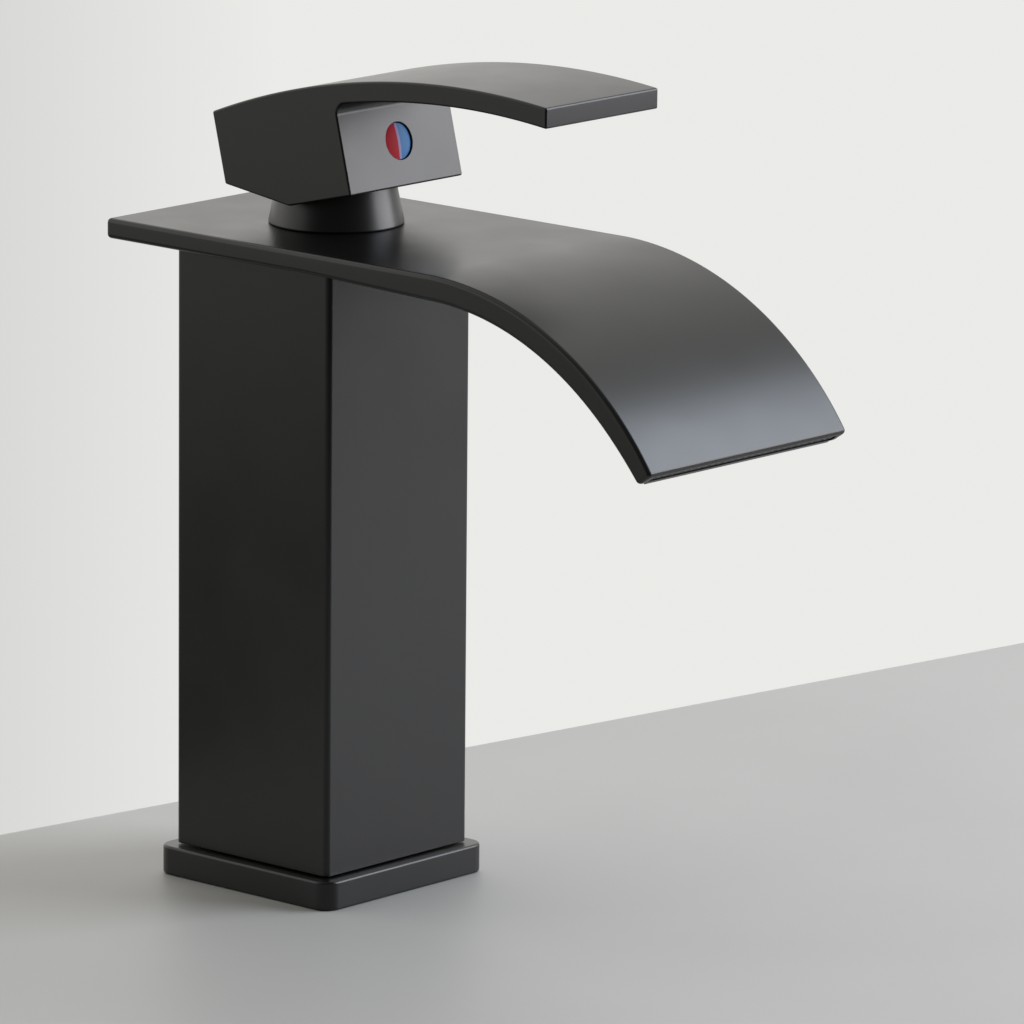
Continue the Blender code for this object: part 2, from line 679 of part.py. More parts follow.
def make_lock_nut_and_collar():
    nut = turned(
        [
            (NUT_FLANGE_RADIUS, COLLAR_BOTTOM + NUT_FLANGE),
            (NUT_FLANGE_RADIUS, COLLAR_BOTTOM),
            (NUT_THREAD_RADIUS, COLLAR_BOTTOM),
            (NUT_THREAD_RADIUS, CARTRIDGE_SHOULDER + SEAT_GAP),
            (CARTRIDGE_NECK_RADIUS + SEAT_GAP, CARTRIDGE_SHOULDER + SEAT_GAP),
            (CARTRIDGE_NECK_RADIUS + SEAT_GAP, COLLAR_BOTTOM + NUT_FLANGE),
        ],
        (0.0, AXIS_Y),
    )
    place("cartridge_lock_nut", nut, cast_brass())

    top = COLLAR_BOTTOM + COLLAR_HEIGHT
    top_radius = COLLAR_RADIUS - COLLAR_TAPER * COLLAR_HEIGHT
    thread = NUT_FLANGE_RADIUS + SEAT_GAP
    thread_top = COLLAR_BOTTOM + NUT_FLANGE + SEAT_GAP
    inner_top = top - COLLAR_WALL
    hole = ROTOR_RADIUS + TURN_GAP
    collar = turned(
        [
            (hole, top),
            (top_radius - COLLAR_EDGE, top),
            (top_radius, top - COLLAR_EDGE),
            (COLLAR_RADIUS, COLLAR_BOTTOM + COLLAR_EDGE),
            (COLLAR_RADIUS - COLLAR_EDGE, COLLAR_BOTTOM),
            (thread, COLLAR_BOTTOM),
            (thread, thread_top),
            (top_radius - COLLAR_WALL, thread_top),
            (top_radius - COLLAR_WALL, inner_top),
            (hole, inner_top),
        ],
        (0.0, AXIS_Y),
        LARGE_ROUND,
    )
    place("collar", collar, matte_black())


def make_cartridge_body():
    housing = turned(
        [
            (CARTRIDGE_NECK_RADIUS, HOUSING_TOP),
            (CARTRIDGE_NECK_RADIUS, CARTRIDGE_SHOULDER),
            (CARTRIDGE_RADIUS, CARTRIDGE_SHOULDER),
            (CARTRIDGE_RADIUS, FIXED_DISC_BOTTOM),
            (CARTRIDGE_CORE_RADIUS, FIXED_DISC_BOTTOM),
            (CARTRIDGE_CORE_RADIUS, ROTOR_FLANGE_TOP + SEAT_GAP),
            (ROTOR_RADIUS + SEAT_GAP, ROTOR_FLANGE_TOP + SEAT_GAP),
            (ROTOR_RADIUS + SEAT_GAP, HOUSING_TOP),
        ],
        (0.0, AXIS_Y),
    )
    place("cartridge_housing", housing, grey_plastic())

    base_top = CARTRIDGE_BASE_BOTTOM + CARTRIDGE_BASE_THICKNESS
    base = place(
        "cartridge_base",
        rod(CARTRIDGE_RADIUS, CARTRIDGE_BASE_BOTTOM, base_top, (0.0, AXIS_Y), MIDDLE_ROUND),
        grey_plastic(),
    )
    disc = place(
        "fixed_ceramic_disc",
        rod(
            CARTRIDGE_CORE_RADIUS - SEAT_GAP,
            FIXED_DISC_BOTTOM,
            FIXED_DISC_BOTTOM + DISC_THICKNESS,
            (0.0, AXIS_Y),
            MIDDLE_ROUND,
        ),
        pale_ceramic(),
    )
    ports = {
        "inlet_seal_hot": (PORT_RADIUS, -PORT_SPREAD, PORT_Y),
        "inlet_seal_cold": (PORT_RADIUS, PORT_SPREAD, PORT_Y),
        "outlet_seal": (OUTLET_RADIUS, 0.0, AXIS_Y + OUTLET_BACK),
    }
    for name, (radius, x, y) in ports.items():
        way = rod(radius, POCKET_FLOOR - OVERRUN, MOVING_DISC_BOTTOM, (x, y), SMALL_ROUND)
        hole = place(f"{name}_way", way)
        seal_outer = radius + SEAT_GAP + SEAL_WIDTH
        seat = rod(
            seal_outer + SEAT_GAP,
            POCKET_FLOOR,
            CARTRIDGE_BASE_BOTTOM + SEAL_SECTION,
            (x, y),
            SMALL_ROUND,
        )
        cut(base, hole, place(f"{name}_seat", seat))
        cut(disc, hole)
        seal = ring(
            radius + SEAT_GAP,
            seal_outer,
            POCKET_FLOOR + SEAT_GAP,
            CARTRIDGE_BASE_BOTTOM + SEAL_SECTION - SEAT_GAP,
            (x, y),
            SMALL_ROUND,
        )
        place(name, seal, black_rubber())


def make_shuttle():
    """The moving disc and its carrier, centred on the axis at the middle of the stem's swing."""
    swing = STEM_BELOW * math.sin(LIFT_MOST)
    stem_forward = STEM_BELOW * math.sin(LIFT_AT_REST)
    stem_y = AXIS_Y - stem_forward
    centre = (0.0, stem_y + swing / 2)
    shuttle = bpy.data.objects.new("shuttle_centre", None)
    bpy.context.scene.collection.objects.link(shuttle)
    shuttle.location = (centre[0], centre[1], CARRIER_BOTTOM)
    local = Matrix.Translation(-shuttle.location)

    def ride(thing):
        thing.data.transform(local)
        thing.parent = shuttle
        return thing

    carrier = rod(MOVING_DISC_RADIUS, CARRIER_BOTTOM, CARRIER_TOP, centre, MIDDLE_ROUND)
    carrier = ride(place("disc_carrier", carrier, white_plastic()))
    pocket_x = STEM_WIDTH / 2 + SEAT_GAP
    pocket_y = STEM_DEPTH / 2 + CARRIER_PLAY
    pocket = [
        (-pocket_x, stem_y - pocket_y),
        (pocket_x, stem_y - pocket_y),
        (pocket_x, stem_y + pocket_y),
        (-pocket_x, stem_y + pocket_y),
    ]
    cut(carrier, place("stem_pocket", prism(pocket, CARRIER_FLOOR, CARRIER_TOP + OVERRUN)))
    disc_top = MOVING_DISC_BOTTOM + DISC_THICKNESS
    disc = rod(MOVING_DISC_RADIUS, MOVING_DISC_BOTTOM, disc_top, centre, MIDDLE_ROUND)
    disc = ride(place("moving_ceramic_disc", disc, pale_ceramic()))
    recess = rod(
        MOVING_DISC_RADIUS * 0.6,
        MOVING_DISC_BOTTOM - OVERRUN,
        MOVING_DISC_BOTTOM + DISC_THICKNESS / 2,
        centre,
    )
    cut(disc, place("mixing_recess", recess))


def make_rotor():
    """The rotor turns about the cartridge axis and carries the pivot pin of the stem."""
    axis = bpy.data.objects.new("swivel_axis", None)
    bpy.context.scene.collection.objects.link(axis)
    axis.location = (0.0, AXIS_Y, PIVOT_HEIGHT)
    local = Matrix.Translation(-axis.location)
    top = PIVOT_HEIGHT + ROTOR_OVER_PIVOT
    flange = CARTRIDGE_CORE_RADIUS - SEAT_GAP
    profile = [
        (0.0, top),
        (ROTOR_RADIUS, top),
        (ROTOR_RADIUS, ROTOR_FLANGE_TOP),
        (flange, ROTOR_FLANGE_TOP),
        (flange, ROTOR_BOTTOM),
        (0.0, ROTOR_BOTTOM),
    ]
    rotor = place("cartridge_rotor", turned(profile, (0.0, AXIS_Y)), white_plastic())
    slot_x = STEM_WIDTH / 2 + SEAT_GAP + STEM_PLAY / 4
    lean = STEM_DEPTH / 2 / math.cos(LIFT_MOST)
    low_reach = (PIVOT_HEIGHT - ROTOR_BOTTOM) * math.tan(LIFT_MOST) + lean + SEAT_GAP
    top_reach = ROTOR_OVER_PIVOT * math.tan(LIFT_MOST) + lean + SEAT_GAP
    upright = STEM_DEPTH / 2 + SEAT_GAP
    # Side view of the stem's swing: straight down behind when closed, leaning when open.
    swing = [
        (AXIS_Y + top_reach + STEM_PLAY, top + OVERRUN),
        (AXIS_Y + upright, PIVOT_HEIGHT),
        (AXIS_Y + upright, ROTOR_BOTTOM - OVERRUN),
        (AXIS_Y - low_reach - STEM_PLAY, ROTOR_BOTTOM - OVERRUN),
        (AXIS_Y - upright - STEM_PLAY, PIVOT_HEIGHT),
        (AXIS_Y - upright - STEM_PLAY, top + OVERRUN),
    ]
    cut(rotor, place("stem_swing", prism(swing, -slot_x, slot_x, across="X")))
    pin_half = ROTOR_RADIUS - PIN_INSET
    # The pin's bore runs in from the left cheek and stops inside the right one.
    bore = rod(
        PIN_RADIUS + SEAT_GAP,
        -ROTOR_RADIUS - OVERRUN,
        pin_half,
        (AXIS_Y, PIVOT_HEIGHT),
        SMALL_ROUND,
        across="X",
    )
    cut(rotor, place("pin_bore", bore))
    pin = rod(
        PIN_RADIUS,
        -pin_half + SEAT_GAP,
        pin_half - SEAT_GAP,
        (AXIS_Y, PIVOT_HEIGHT),
        SMALL_ROUND,
        across="X",
    )
    pin = place("pivot_pin", pin, steel())
    for thing in (rotor, pin):
        thing.data.transform(local)
        thing.parent = axis


# ---- lever, modelled closed in its own frame

def crown(radius, y):
    """Height of the lever's curved top, or of a line concentric with it."""
    middle = LEVER_CREST_HEIGHT - LEVER_CROWN_RADIUS
    return middle + math.sqrt(radius**2 - (y + LEVER_CREST_FORWARD) ** 2)


def lever_outline():
    """Side view: crown from back to tip, blade underside, fillet, front, bottom and heel."""
    crown_steps = 14
    blade_steps = 10
    fillet_steps = 4
    reach = LEVER_BACK + BLADE_TIP
    back_to_tip = [LEVER_BACK - reach * i / crown_steps for i in range(crown_steps + 1)]
    points = [(y, crown(LEVER_CROWN_RADIUS, y)) for y in back_to_tip]
    under = LEVER_CROWN_RADIUS - BLADE_THICKNESS
    tilt = math.tan(LIFT_AT_REST)
    tip_under = -BLADE_TIP + BLADE_THICKNESS * tilt
    fillet_y = -LEVER_FRONT - BLADE_FILLET
    stretch = fillet_y - tip_under
    tip_to_front = [tip_under + stretch * i / blade_steps for i in range(blade_steps + 1)]
    points += [(y, crown(under, y)) for y in tip_to_front]
    fillet_z = points[-1][1] - BLADE_FILLET
    points += [
        (
            fillet_y + BLADE_FILLET * math.sin(math.pi / 2 * i / fillet_steps),
            fillet_z + BLADE_FILLET * math.cos(math.pi / 2 * i / fillet_steps),
        )
        for i in range(1, fillet_steps + 1)
    ]
    heel_rise = (LEVER_BACK + LEVER_HEEL) * math.tan(LEVER_HEEL_ANGLE)
    points += [
        (-LEVER_FRONT, -LEVER_BOTTOM),
        (-LEVER_HEEL, -LEVER_BOTTOM),
        (LEVER_BACK, -LEVER_BOTTOM + heel_rise),
    ]
    return points


def make_lever():
    pivot = bpy.data.objects.new("lift_axis", None)
    bpy.context.scene.collection.objects.link(pivot)
    pivot.location = (0.0, AXIS_Y, PIVOT_HEIGHT)
    pivot.rotation_euler = (-LIFT_AT_REST, 0.0, 0.0)
    half = LEVER_WIDTH / 2
    outer = prism(lever_outline(), -half, half, across="X")
    lever = place("lever_handle", round_edges(outer, LEVER_EDGE), matte_black(), pivot)

    front_wall = NUT_FLANGE_RADIUS + LEVER_FRONT_CLEARANCE
    socket_y = STEM_DEPTH / 2 + SEAT_GAP
    slope_end = socket_y + LEVER_SLOPE_START
    back = LEVER_BACK - LEVER_BACK_WALL
    below = -LEVER_BOTTOM - 4 * OVERRUN
    # The ceiling rises behind the stem at the lever's full lift, to clear the rotor's head.
    cavity = [
        (-front_wall, below),
        (-front_wall, LEVER_WEB),
        (0.0, LEVER_WEB),
        (slope_end, LEVER_WEB + slope_end * math.tan(LIFT_MOST)),
        (slope_end, LEVER_CEILING),
        (back, LEVER_CEILING),
        (back, below),
    ]
    inside = half - LEVER_WALL
    cut(lever, place("lever_cavity", prism(cavity, -inside, inside, across="X"), None, pivot))

    socket_x = STEM_WIDTH / 2 + SEAT_GAP
    socket = [
        (-socket_x, -socket_y),
        (socket_x, -socket_y),
        (socket_x, socket_y),
        (-socket_x, socket_y),
    ]
    socket_mesh = prism(socket, LEVER_WEB - 2 * OVERRUN, STEM_ABOVE + SEAT_GAP)
    cut(lever, place("stem_socket", socket_mesh, None, pivot))

    plug_back = -LEVER_FRONT + PLUG_INSET + PLUG_THICKNESS
    bore = rod(
        GRUB_RADIUS + SEAT_GAP,
        plug_back,
        -STEM_DEPTH / 2,
        (0.0, PLUG_HEIGHT),
        SMALL_ROUND,
        across="Y",
    )
    recess = rod(
        PLUG_RADIUS + SEAT_GAP,
        -LEVER_FRONT - 2 * OVERRUN,
        plug_back + SEAT_GAP,
        (0.0, PLUG_HEIGHT),
        MIDDLE_ROUND,
        across="Y",
    )
    cut(lever, place("grub_bore", bore, None, pivot), place("plug_recess", recess, None, pivot))
    make_grub_screw(pivot)
    make_plug(pivot)
    make_stem(pivot)


def make_grub_screw(pivot):
    inner_end = -STEM_DEPTH / 2 - SEAT_GAP
    outer_end = inner_end - GRUB_LENGTH
    grub = rod(
        GRUB_RADIUS, outer_end, inner_end, (0.0, PLUG_HEIGHT), SMALL_ROUND, across="Y"
    )
    grub = place("handle_grub_screw", grub, steel(), pivot)
    key = rod(
        GRUB_KEY, outer_end - OVERRUN, outer_end + GRUB_KEY_DEPTH, (0.0, PLUG_HEIGHT), 6, across="Y"
    )
    cut(grub, place("grub_key", key, None, pivot))


def half_disc(radius, side, flat):
    """Outline of the part of a disc beyond a flat, in (x, z) about the plug's centre."""
    start = math.acos(flat / radius)
    steps = 12
    return [
        (
            side * radius * math.cos(-start + 2 * start * i / steps),
            PLUG_HEIGHT + radius * math.sin(-start + 2 * start * i / steps),
        )
        for i in range(steps + 1)
    ]


def make_plug(pivot):
    face = -LEVER_FRONT + PLUG_INSET
    back = face + PLUG_THICKNESS
    plug = rod(PLUG_RADIUS, face, back, (0.0, PLUG_HEIGHT), MIDDLE_ROUND, across="Y")
    plug = place("indicator_plug", plug, white_plastic(), pivot)
    mark_radius = PLUG_RADIUS - MARK_RIM
    for side, name, material in ((-1, "hot", red_plastic()), (1, "cold", blue_plastic())):
        recess = prism(
            half_disc(mark_radius + SEAT_GAP, side, MARK_BAND / 2 - SEAT_GAP),
            face - OVERRUN,
            face + MARK_THICKNESS + SEAT_GAP,
            across="Y",
        )
        cut(plug, place(f"mark_recess_{name}", recess, None, pivot))
        mark = prism(
            half_disc(mark_radius, side, MARK_BAND / 2), face, face + MARK_THICKNESS, across="Y"
        )
        place(f"indicator_{name}_mark", mark, material, pivot)


def make_stem(pivot):
    """A flat bar from the disc carrier, past the pivot pin, up into the lever's socket."""
    half_depth = STEM_DEPTH / 2
    outline = [
        (-half_depth, STEM_ABOVE),
        (-half_depth, -STEM_BELOW + STEM_TOE),
        (-half_depth + STEM_TOE, -STEM_BELOW),
        (half_depth - STEM_TOE, -STEM_BELOW),
        (half_depth, -STEM_BELOW + STEM_TOE),
        (half_depth, STEM_ABOVE),
    ]
    bar = prism(outline, -STEM_WIDTH / 2, STEM_WIDTH / 2, across="X")
    stem = place("cartridge_stem", bar, steel(), pivot)
    eye = rod(
        PIN_RADIUS + SEAT_GAP, -STEM_WIDTH, STEM_WIDTH, (0.0, 0.0), SMALL_ROUND, across="X"
    )
    cut(stem, place("pin_eye", eye, None, pivot))


# ---- clamp below the deck

def clamp_outline():
    """A horseshoe open to the front, so that it slips round the two hoses."""
    half_slot = CLAMP_SLOT / 2
    start = math.asin(half_slot / CLAMP_RADIUS)
    steps = 24
    sweep = math.tau - 2 * start
    outer = [
        (
            CLAMP_RADIUS * math.sin(start + sweep * i / steps),
            -CLAMP_RADIUS * math.cos(start + sweep * i / steps),
        )
        for i in range(steps + 1)
    ]
    corner = CLAMP_SLOT_CORNER
    slot = [
        (-half_slot, CLAMP_SLOT_BACK - corner),
        (-half_slot + corner, CLAMP_SLOT_BACK),
        (half_slot - corner, CLAMP_SLOT_BACK),
        (half_slot, CLAMP_SLOT_BACK - corner),
    ]
    return outer + slot


def make_clamp():
    spot = (0.0, STUD_BACK)
    stud_top = COLUMN_BOTTOM + STUD_ENGAGED
    stud = rod(STUD_RADIUS, stud_top - STUD_LENGTH, stud_top, spot)
    place("mounting_stud", round_edges(stud, STUD_CHAMFER, 1, None, math.radians(60)), steel())
    hole = place(
        "clamp_hole",
        rod(STUD_RADIUS + TURN_GAP, stud_top - STUD_LENGTH, OVERRUN - DECK_THICKNESS, spot),
    )
    top = -DECK_THICKNESS
    pad = place("clamp_rubber_pad", prism(clamp_outline(), top - PAD_THICKNESS, top), black_rubber())
    top -= PAD_THICKNESS + SEAT_GAP
    shoe = prism(clamp_outline(), top - HORSESHOE_THICKNESS, top)
    shoe = place("clamp_horseshoe", shoe, steel())
    top -= HORSESHOE_THICKNESS + SEAT_GAP
    nut = rod(NUT_ACROSS_FLATS / math.sqrt(3), top - NUT_HEIGHT, top, spot, 6)
    nut = place("stud_nut", nut, steel())
    bore = place(
        "nut_bore", rod(STUD_RADIUS + SEAT_GAP, top - NUT_HEIGHT - OVERRUN, top + OVERRUN, spot)
    )
    cut(pad, hole)
    cut(shoe, hole)
    cut(nut, bore)


def clear_scene():
    for thing in list(bpy.data.objects):
        bpy.data.objects.remove(thing)


def main():
    clear_scene()
    make_base()
    make_column()
    make_inlet_block()
    make_risers()
    make_valve_body()
    make_spout()
    make_lock_nut_and_collar()
    make_cartridge_body()
    make_shuttle()
    make_rotor()
    make_lever()
    make_clamp()


main()
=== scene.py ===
import json
import math

import bmesh
import bpy
from mathutils import Matrix, Vector


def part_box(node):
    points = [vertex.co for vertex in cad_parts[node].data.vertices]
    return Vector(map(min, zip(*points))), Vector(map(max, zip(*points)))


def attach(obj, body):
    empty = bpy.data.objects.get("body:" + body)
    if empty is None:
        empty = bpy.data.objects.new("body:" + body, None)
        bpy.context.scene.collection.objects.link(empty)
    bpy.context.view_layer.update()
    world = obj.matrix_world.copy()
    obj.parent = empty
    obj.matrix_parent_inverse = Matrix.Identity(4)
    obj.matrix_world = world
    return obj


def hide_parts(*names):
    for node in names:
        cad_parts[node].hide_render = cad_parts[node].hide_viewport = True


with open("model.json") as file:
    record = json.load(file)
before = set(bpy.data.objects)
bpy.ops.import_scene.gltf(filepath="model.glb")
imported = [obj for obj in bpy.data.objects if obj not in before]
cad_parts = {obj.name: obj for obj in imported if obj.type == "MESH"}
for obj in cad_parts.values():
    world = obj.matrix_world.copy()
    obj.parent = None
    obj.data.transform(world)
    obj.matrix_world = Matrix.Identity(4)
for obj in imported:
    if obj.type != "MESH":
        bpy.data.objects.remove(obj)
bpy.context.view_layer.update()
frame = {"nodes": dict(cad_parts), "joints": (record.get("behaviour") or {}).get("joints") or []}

mm = 0.001
level = 1e-7  # heights and radii this close count as equal
past = 1 * mm  # how far a cutter reaches beyond the face it cuts
joints = {joint["name"]: joint for joint in frame["joints"]}


# mesh helpers

def prism(outline, start, end, across="Z"):
    # extrudes a closed outline: (x, y) across Z, (y, z) across X, (x, z) across Y
    place = {
        "Z": lambda a, b, c: (a, b, c),
        "X": lambda a, b, c: (c, a, b),
        "Y": lambda a, b, c: (a, c, b),
    }[across]
    bm = bmesh.new()
    near = [bm.verts.new(place(a, b, start)) for a, b in outline]
    far = [bm.verts.new(place(a, b, end)) for a, b in outline]
    bm.faces.new(near)
    bm.faces.new(far)
    for i, vert in enumerate(near):
        j = (i + 1) % len(near)
        bm.faces.new((vert, near[j], far[j], far[i]))
    bmesh.ops.recalc_face_normals(bm, faces=bm.faces)
    return bm


def turned(profile, centre=(0, 0), steps=96):
    # spins a closed (radius, height) profile about a vertical axis
    bm = bmesh.new()
    rings = []
    for radius, height in profile:
        if radius < level:
            rings.append([bm.verts.new((centre[0], centre[1], height))])
            continue
        rings.append([
            bm.verts.new((
                centre[0] + radius * math.cos(math.tau * i / steps),
                centre[1] + radius * math.sin(math.tau * i / steps),
                height,
            ))
            for i in range(steps)
        ])
    for k, low in enumerate(rings):
        high = rings[(k + 1) % len(rings)]
        if len(low) == 1 and len(high) == 1:
            continue
        for i in range(steps):
            j = (i + 1) % steps
            corners = [low[i % len(low)], low[j % len(low)], high[j % len(high)], high[i % len(high)]]
            bm.faces.new(list(dict.fromkeys(corners)))
    bmesh.ops.recalc_face_normals(bm, faces=bm.faces)
    return bm


def disc(radius, centre=(0, 0), steps=48, start=0.0, sweep=math.tau):
    count = steps if abs(sweep - math.tau) < 1e-6 else steps + 1
    return [
        (
            centre[0] + radius * math.cos(start + sweep * i / steps),
            centre[1] + radius * math.sin(start + sweep * i / steps),
        )
        for i in range(count)
    ]


def roundedSquare(side, radius, steps):
    reach = side / 2 - radius
    outline = []
    for corner, (x, y) in enumerate(((1, 1), (-1, 1), (-1, -1), (1, -1))):
        outline += disc(radius, (x * reach, y * reach), steps, math.pi / 2 * corner, math.pi / 2)
    return outline


def softened(profile, radius, steps=5):
    # rounds every corner of a closed profile with an arc of this radius
    points = [Vector(point) for point in profile]
    result = []
    for i, point in enumerate(points):
        before = points[i - 1] - point
        after = points[(i + 1) % len(points)] - point
        angle = before.angle(after)
        if point.x < level or angle > math.radians(170):
            result.append(tuple(point))
            continue
        back = min(radius / math.tan(angle / 2), before.length / 2.1, after.length / 2.1)
        start = point + before.normalized() * back
        end = point + after.normalized() * back
        for k in range(steps + 1):
            t = k / steps
            result.append(tuple((1 - t) ** 2 * start + 2 * t * (1 - t) * point + t * t * end))
    return result


def isLevel(edge):
    return abs(edge.verts[0].co.z - edge.verts[1].co.z) < level


def bevelled(bm, width, segments=4, chosen=None, sharper=30):
    # rounds the chosen edges, or all of them, where the surface turns by more than this angle
    bm.normal_update()
    edges = [
        edge for edge in bm.edges
        if edge.calc_face_angle(0) > math.radians(sharper) and (chosen is None or chosen(edge))
    ]
    bmesh.ops.bevel(bm, geom=edges, offset=width, segments=segments, profile=0.5, affect="EDGES")
    return bm


def asObject(name, bm):
    mesh = bpy.data.meshes.new(name)
    bm.to_mesh(mesh)
    bm.free()
    thing = bpy.data.objects.new(name, mesh)
    bpy.context.scene.collection.objects.link(thing)
    return thing


def applied(thing):
    # bakes the modifiers into the mesh
    evaluated = thing.evaluated_get(bpy.context.evaluated_depsgraph_get())
    mesh = bpy.data.meshes.new_from_object(evaluated)
    thing.modifiers.clear()
    thing.data = mesh


def carve(thing, *tools, operation="DIFFERENCE"):
    cutters = [asObject("cutter", bm) for bm in tools]
    for cutter in cutters:
        cut = thing.modifiers.new("cut", "BOOLEAN")
        cut.operation = operation
        cut.solver = "EXACT"
        cut.object = cutter
    applied(thing)
    for cutter in cutters:
        bpy.data.objects.remove(cutter)


def finishPiece(thing, body, nodes, material, angle=32, edge=0, matrix=None):
    # smooth shading that keeps flats flat, then the body, CAD nodes and slot
    if matrix is not None:
        thing.data.transform(matrix)
    if edge:
        bevel = thing.modifiers.new("edge", "BEVEL")
        bevel.width = edge
        bevel.segments = 2
        bevel.limit_method = "ANGLE"
        bevel.angle_limit = math.radians(40)
    thing.data.shade_smooth()
    thing.data.set_sharp_from_angle(angle=math.radians(angle))
    weighted = thing.modifiers.new("weighted", "WEIGHTED_NORMAL")
    weighted.keep_sharp = True
    applied(thing)
    thing.data.name = thing.name
    thing.data.materials.clear()
    thing.data.materials.append(material)
    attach(thing, body)
    if nodes:
        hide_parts(*nodes)


# shader helpers, and the effects that the finishes share

def shaderGroup(name, inputs, outputs):
    group = bpy.data.node_groups.new(name, "ShaderNodeTree")
    for label, value in inputs.items():
        socket = group.interface.new_socket(label, in_out="INPUT", socket_type="NodeSocketFloat")
        socket.default_value = value
    for label in outputs:
        group.interface.new_socket(label, in_out="OUTPUT", socket_type="NodeSocketFloat")
    return group, group.nodes.new("NodeGroupInput"), group.nodes.new("NodeGroupOutput")


def feed(tree, socket, value):
    # a socket takes a number, the three numbers of a colour, or another node's output
    if isinstance(value, (int, float)):
        socket.default_value = value
    elif isinstance(value, tuple):
        socket.default_value = (*value, 1)
    else:
        tree.links.new(value, socket)


def maths(tree, operation, first, second):
    node = tree.nodes.new("ShaderNodeMath")
    node.operation = operation
    for socket, value in zip(node.inputs, (first, second)):
        feed(tree, socket, value)
    return node.outputs[0]


def blended(tree, factor, first, second):
    node = tree.nodes.new("ShaderNodeMix")
    node.data_type = "RGBA"
    feed(tree, node.inputs["A"], first)
    feed(tree, node.inputs["B"], second)
    feed(tree, node.inputs["Factor"], factor)
    return node.outputs["Result"]


def noise(tree, coordinate, scale, detail=3.0):
    node = tree.nodes.new("ShaderNodeTexNoise")
    node.inputs["Detail"].default_value = detail
    tree.links.new(coordinate, node.inputs["Vector"])
    feed(tree, node.inputs["Scale"], scale)
    return node.outputs["Fac"]


def mapped(tree, value, span, target, smooth=False):
    # stretches a value from one span to another; smooth eases both ends
    node = tree.nodes.new("ShaderNodeMapRange")
    if smooth:
        node.interpolation_type = "SMOOTHSTEP"
    for label, number in zip(("From Min", "From Max", "To Min", "To Max"), (*span, *target)):
        feed(tree, node.inputs[label], number)
    tree.links.new(value, node.inputs["Value"])
    return node.outputs["Result"]


def grainGroup():
    # sprayed or moulded skin: fine grain over a slow swell, as a height and a mask
    inputs = {"Grain per metre": 2500.0, "Swell per metre": 120.0, "Swell share": 0.6}
    group, enter, leave = shaderGroup("surfaceGrain", inputs, ("Height", "Mask"))
    place = group.nodes.new("ShaderNodeTexCoord").outputs["Object"]
    fine = noise(group, place, enter.outputs["Grain per metre"], 2.0)
    slow = noise(group, place, enter.outputs["Swell per metre"], 3.0)
    swell = maths(group, "MULTIPLY", slow, enter.outputs["Swell share"])
    group.links.new(maths(group, "ADD", fine, swell), leave.inputs["Height"])
    group.links.new(slow, leave.inputs["Mask"])
    return group


def wearGroup():
    # mask of the outward edges, broken up by noise, where a finish rubs thin
    inputs = {"Sharpness": 12.0, "Threshold": 0.52, "Breakup per metre": 700.0}
    group, enter, leave = shaderGroup("edgeWear", inputs, ("Mask",))
    place = group.nodes.new("ShaderNodeTexCoord").outputs["Object"]
    point = group.nodes.new("ShaderNodeNewGeometry").outputs["Pointiness"]
    over = maths(group, "SUBTRACT", point, enter.outputs["Threshold"])
    raised = maths(group, "MULTIPLY", over, enter.outputs["Sharpness"])
    broken = maths(group, "MULTIPLY", raised, noise(group, place, enter.outputs["Breakup per metre"]))
    limited = maths(group, "MINIMUM", maths(group, "MAXIMUM", broken, 0.0), 1.0)
    group.links.new(limited, leave.inputs["Mask"])
    return group


def brushGroup():
    # machining or drawing marks that run round or along Z
    inputs = {"Marks per metre": 3000.0, "Stretch": 0.03, "Mottle per metre": 90.0}
    group, enter, leave = shaderGroup("machiningMarks", inputs, ("Height", "Mask"))
    place = group.nodes.new("ShaderNodeTexCoord").outputs["Object"]
    apart = group.nodes.new("ShaderNodeSeparateXYZ")
    group.links.new(place, apart.inputs[0])
    joined = group.nodes.new("ShaderNodeCombineXYZ")
    for axis in ("X", "Y"):
        stretched = maths(group, "MULTIPLY", apart.outputs[axis], enter.outputs["Stretch"])
        group.links.new(stretched, joined.inputs[axis])
    group.links.new(apart.outputs["Z"], joined.inputs["Z"])
    streak = noise(group, joined.outputs[0], enter.outputs["Marks per metre"], 4.0)
    group.links.new(streak, leave.inputs["Height"])
    group.links.new(noise(group, place, enter.outputs["Mottle per metre"]), leave.inputs["Mask"])
    return group


grain = grainGroup()
wear = wearGroup()
brush = brushGroup()
maskSpan = (0.3, 0.7)  # where most of a noise mask lies


def finish(name, look):
    # one finish: two tones mixed by a mask, roughness range, bump and worn edges
    material = bpy.data.materials.new(name)
    material.use_nodes = True
    tree = material.node_tree
    shader = tree.nodes["Principled BSDF"]
    shader.inputs["Metallic"].default_value = look.get("metallic", 0.0)
    shader.inputs["Specular IOR Level"].default_value = look.get("specular", 0.5)
    surface = tree.nodes.new("ShaderNodeGroup")
    surface.node_tree = look.get("effect", grain)
    for label, value in look.get("settings", {}).items():
        surface.inputs[label].default_value = value
    colour = blended(tree, surface.outputs["Mask"], look["tone"], look["secondTone"])
    if "worn" in look:
        edges = tree.nodes.new("ShaderNodeGroup")
        edges.node_tree = wear
        edges.inputs["Sharpness"].default_value = look.get("wearSharpness", 6.0)
        colour = blended(tree, edges.outputs["Mask"], colour, look["worn"])
    tree.links.new(colour, shader.inputs["Base Color"])
    rough = mapped(tree, surface.outputs["Mask"], maskSpan, look["roughness"])
    tree.links.new(rough, shader.inputs["Roughness"])
    bump = tree.nodes.new("ShaderNodeBump")
    bump.inputs["Strength"].default_value = look.get("bumpStrength", 0.3)
    bump.inputs["Distance"].default_value = look.get("bump", 0.01) * mm
    tree.links.new(surface.outputs["Height"], bump.inputs["Height"])
    tree.links.new(bump.outputs["Normal"], shader.inputs["Normal"])
    return material


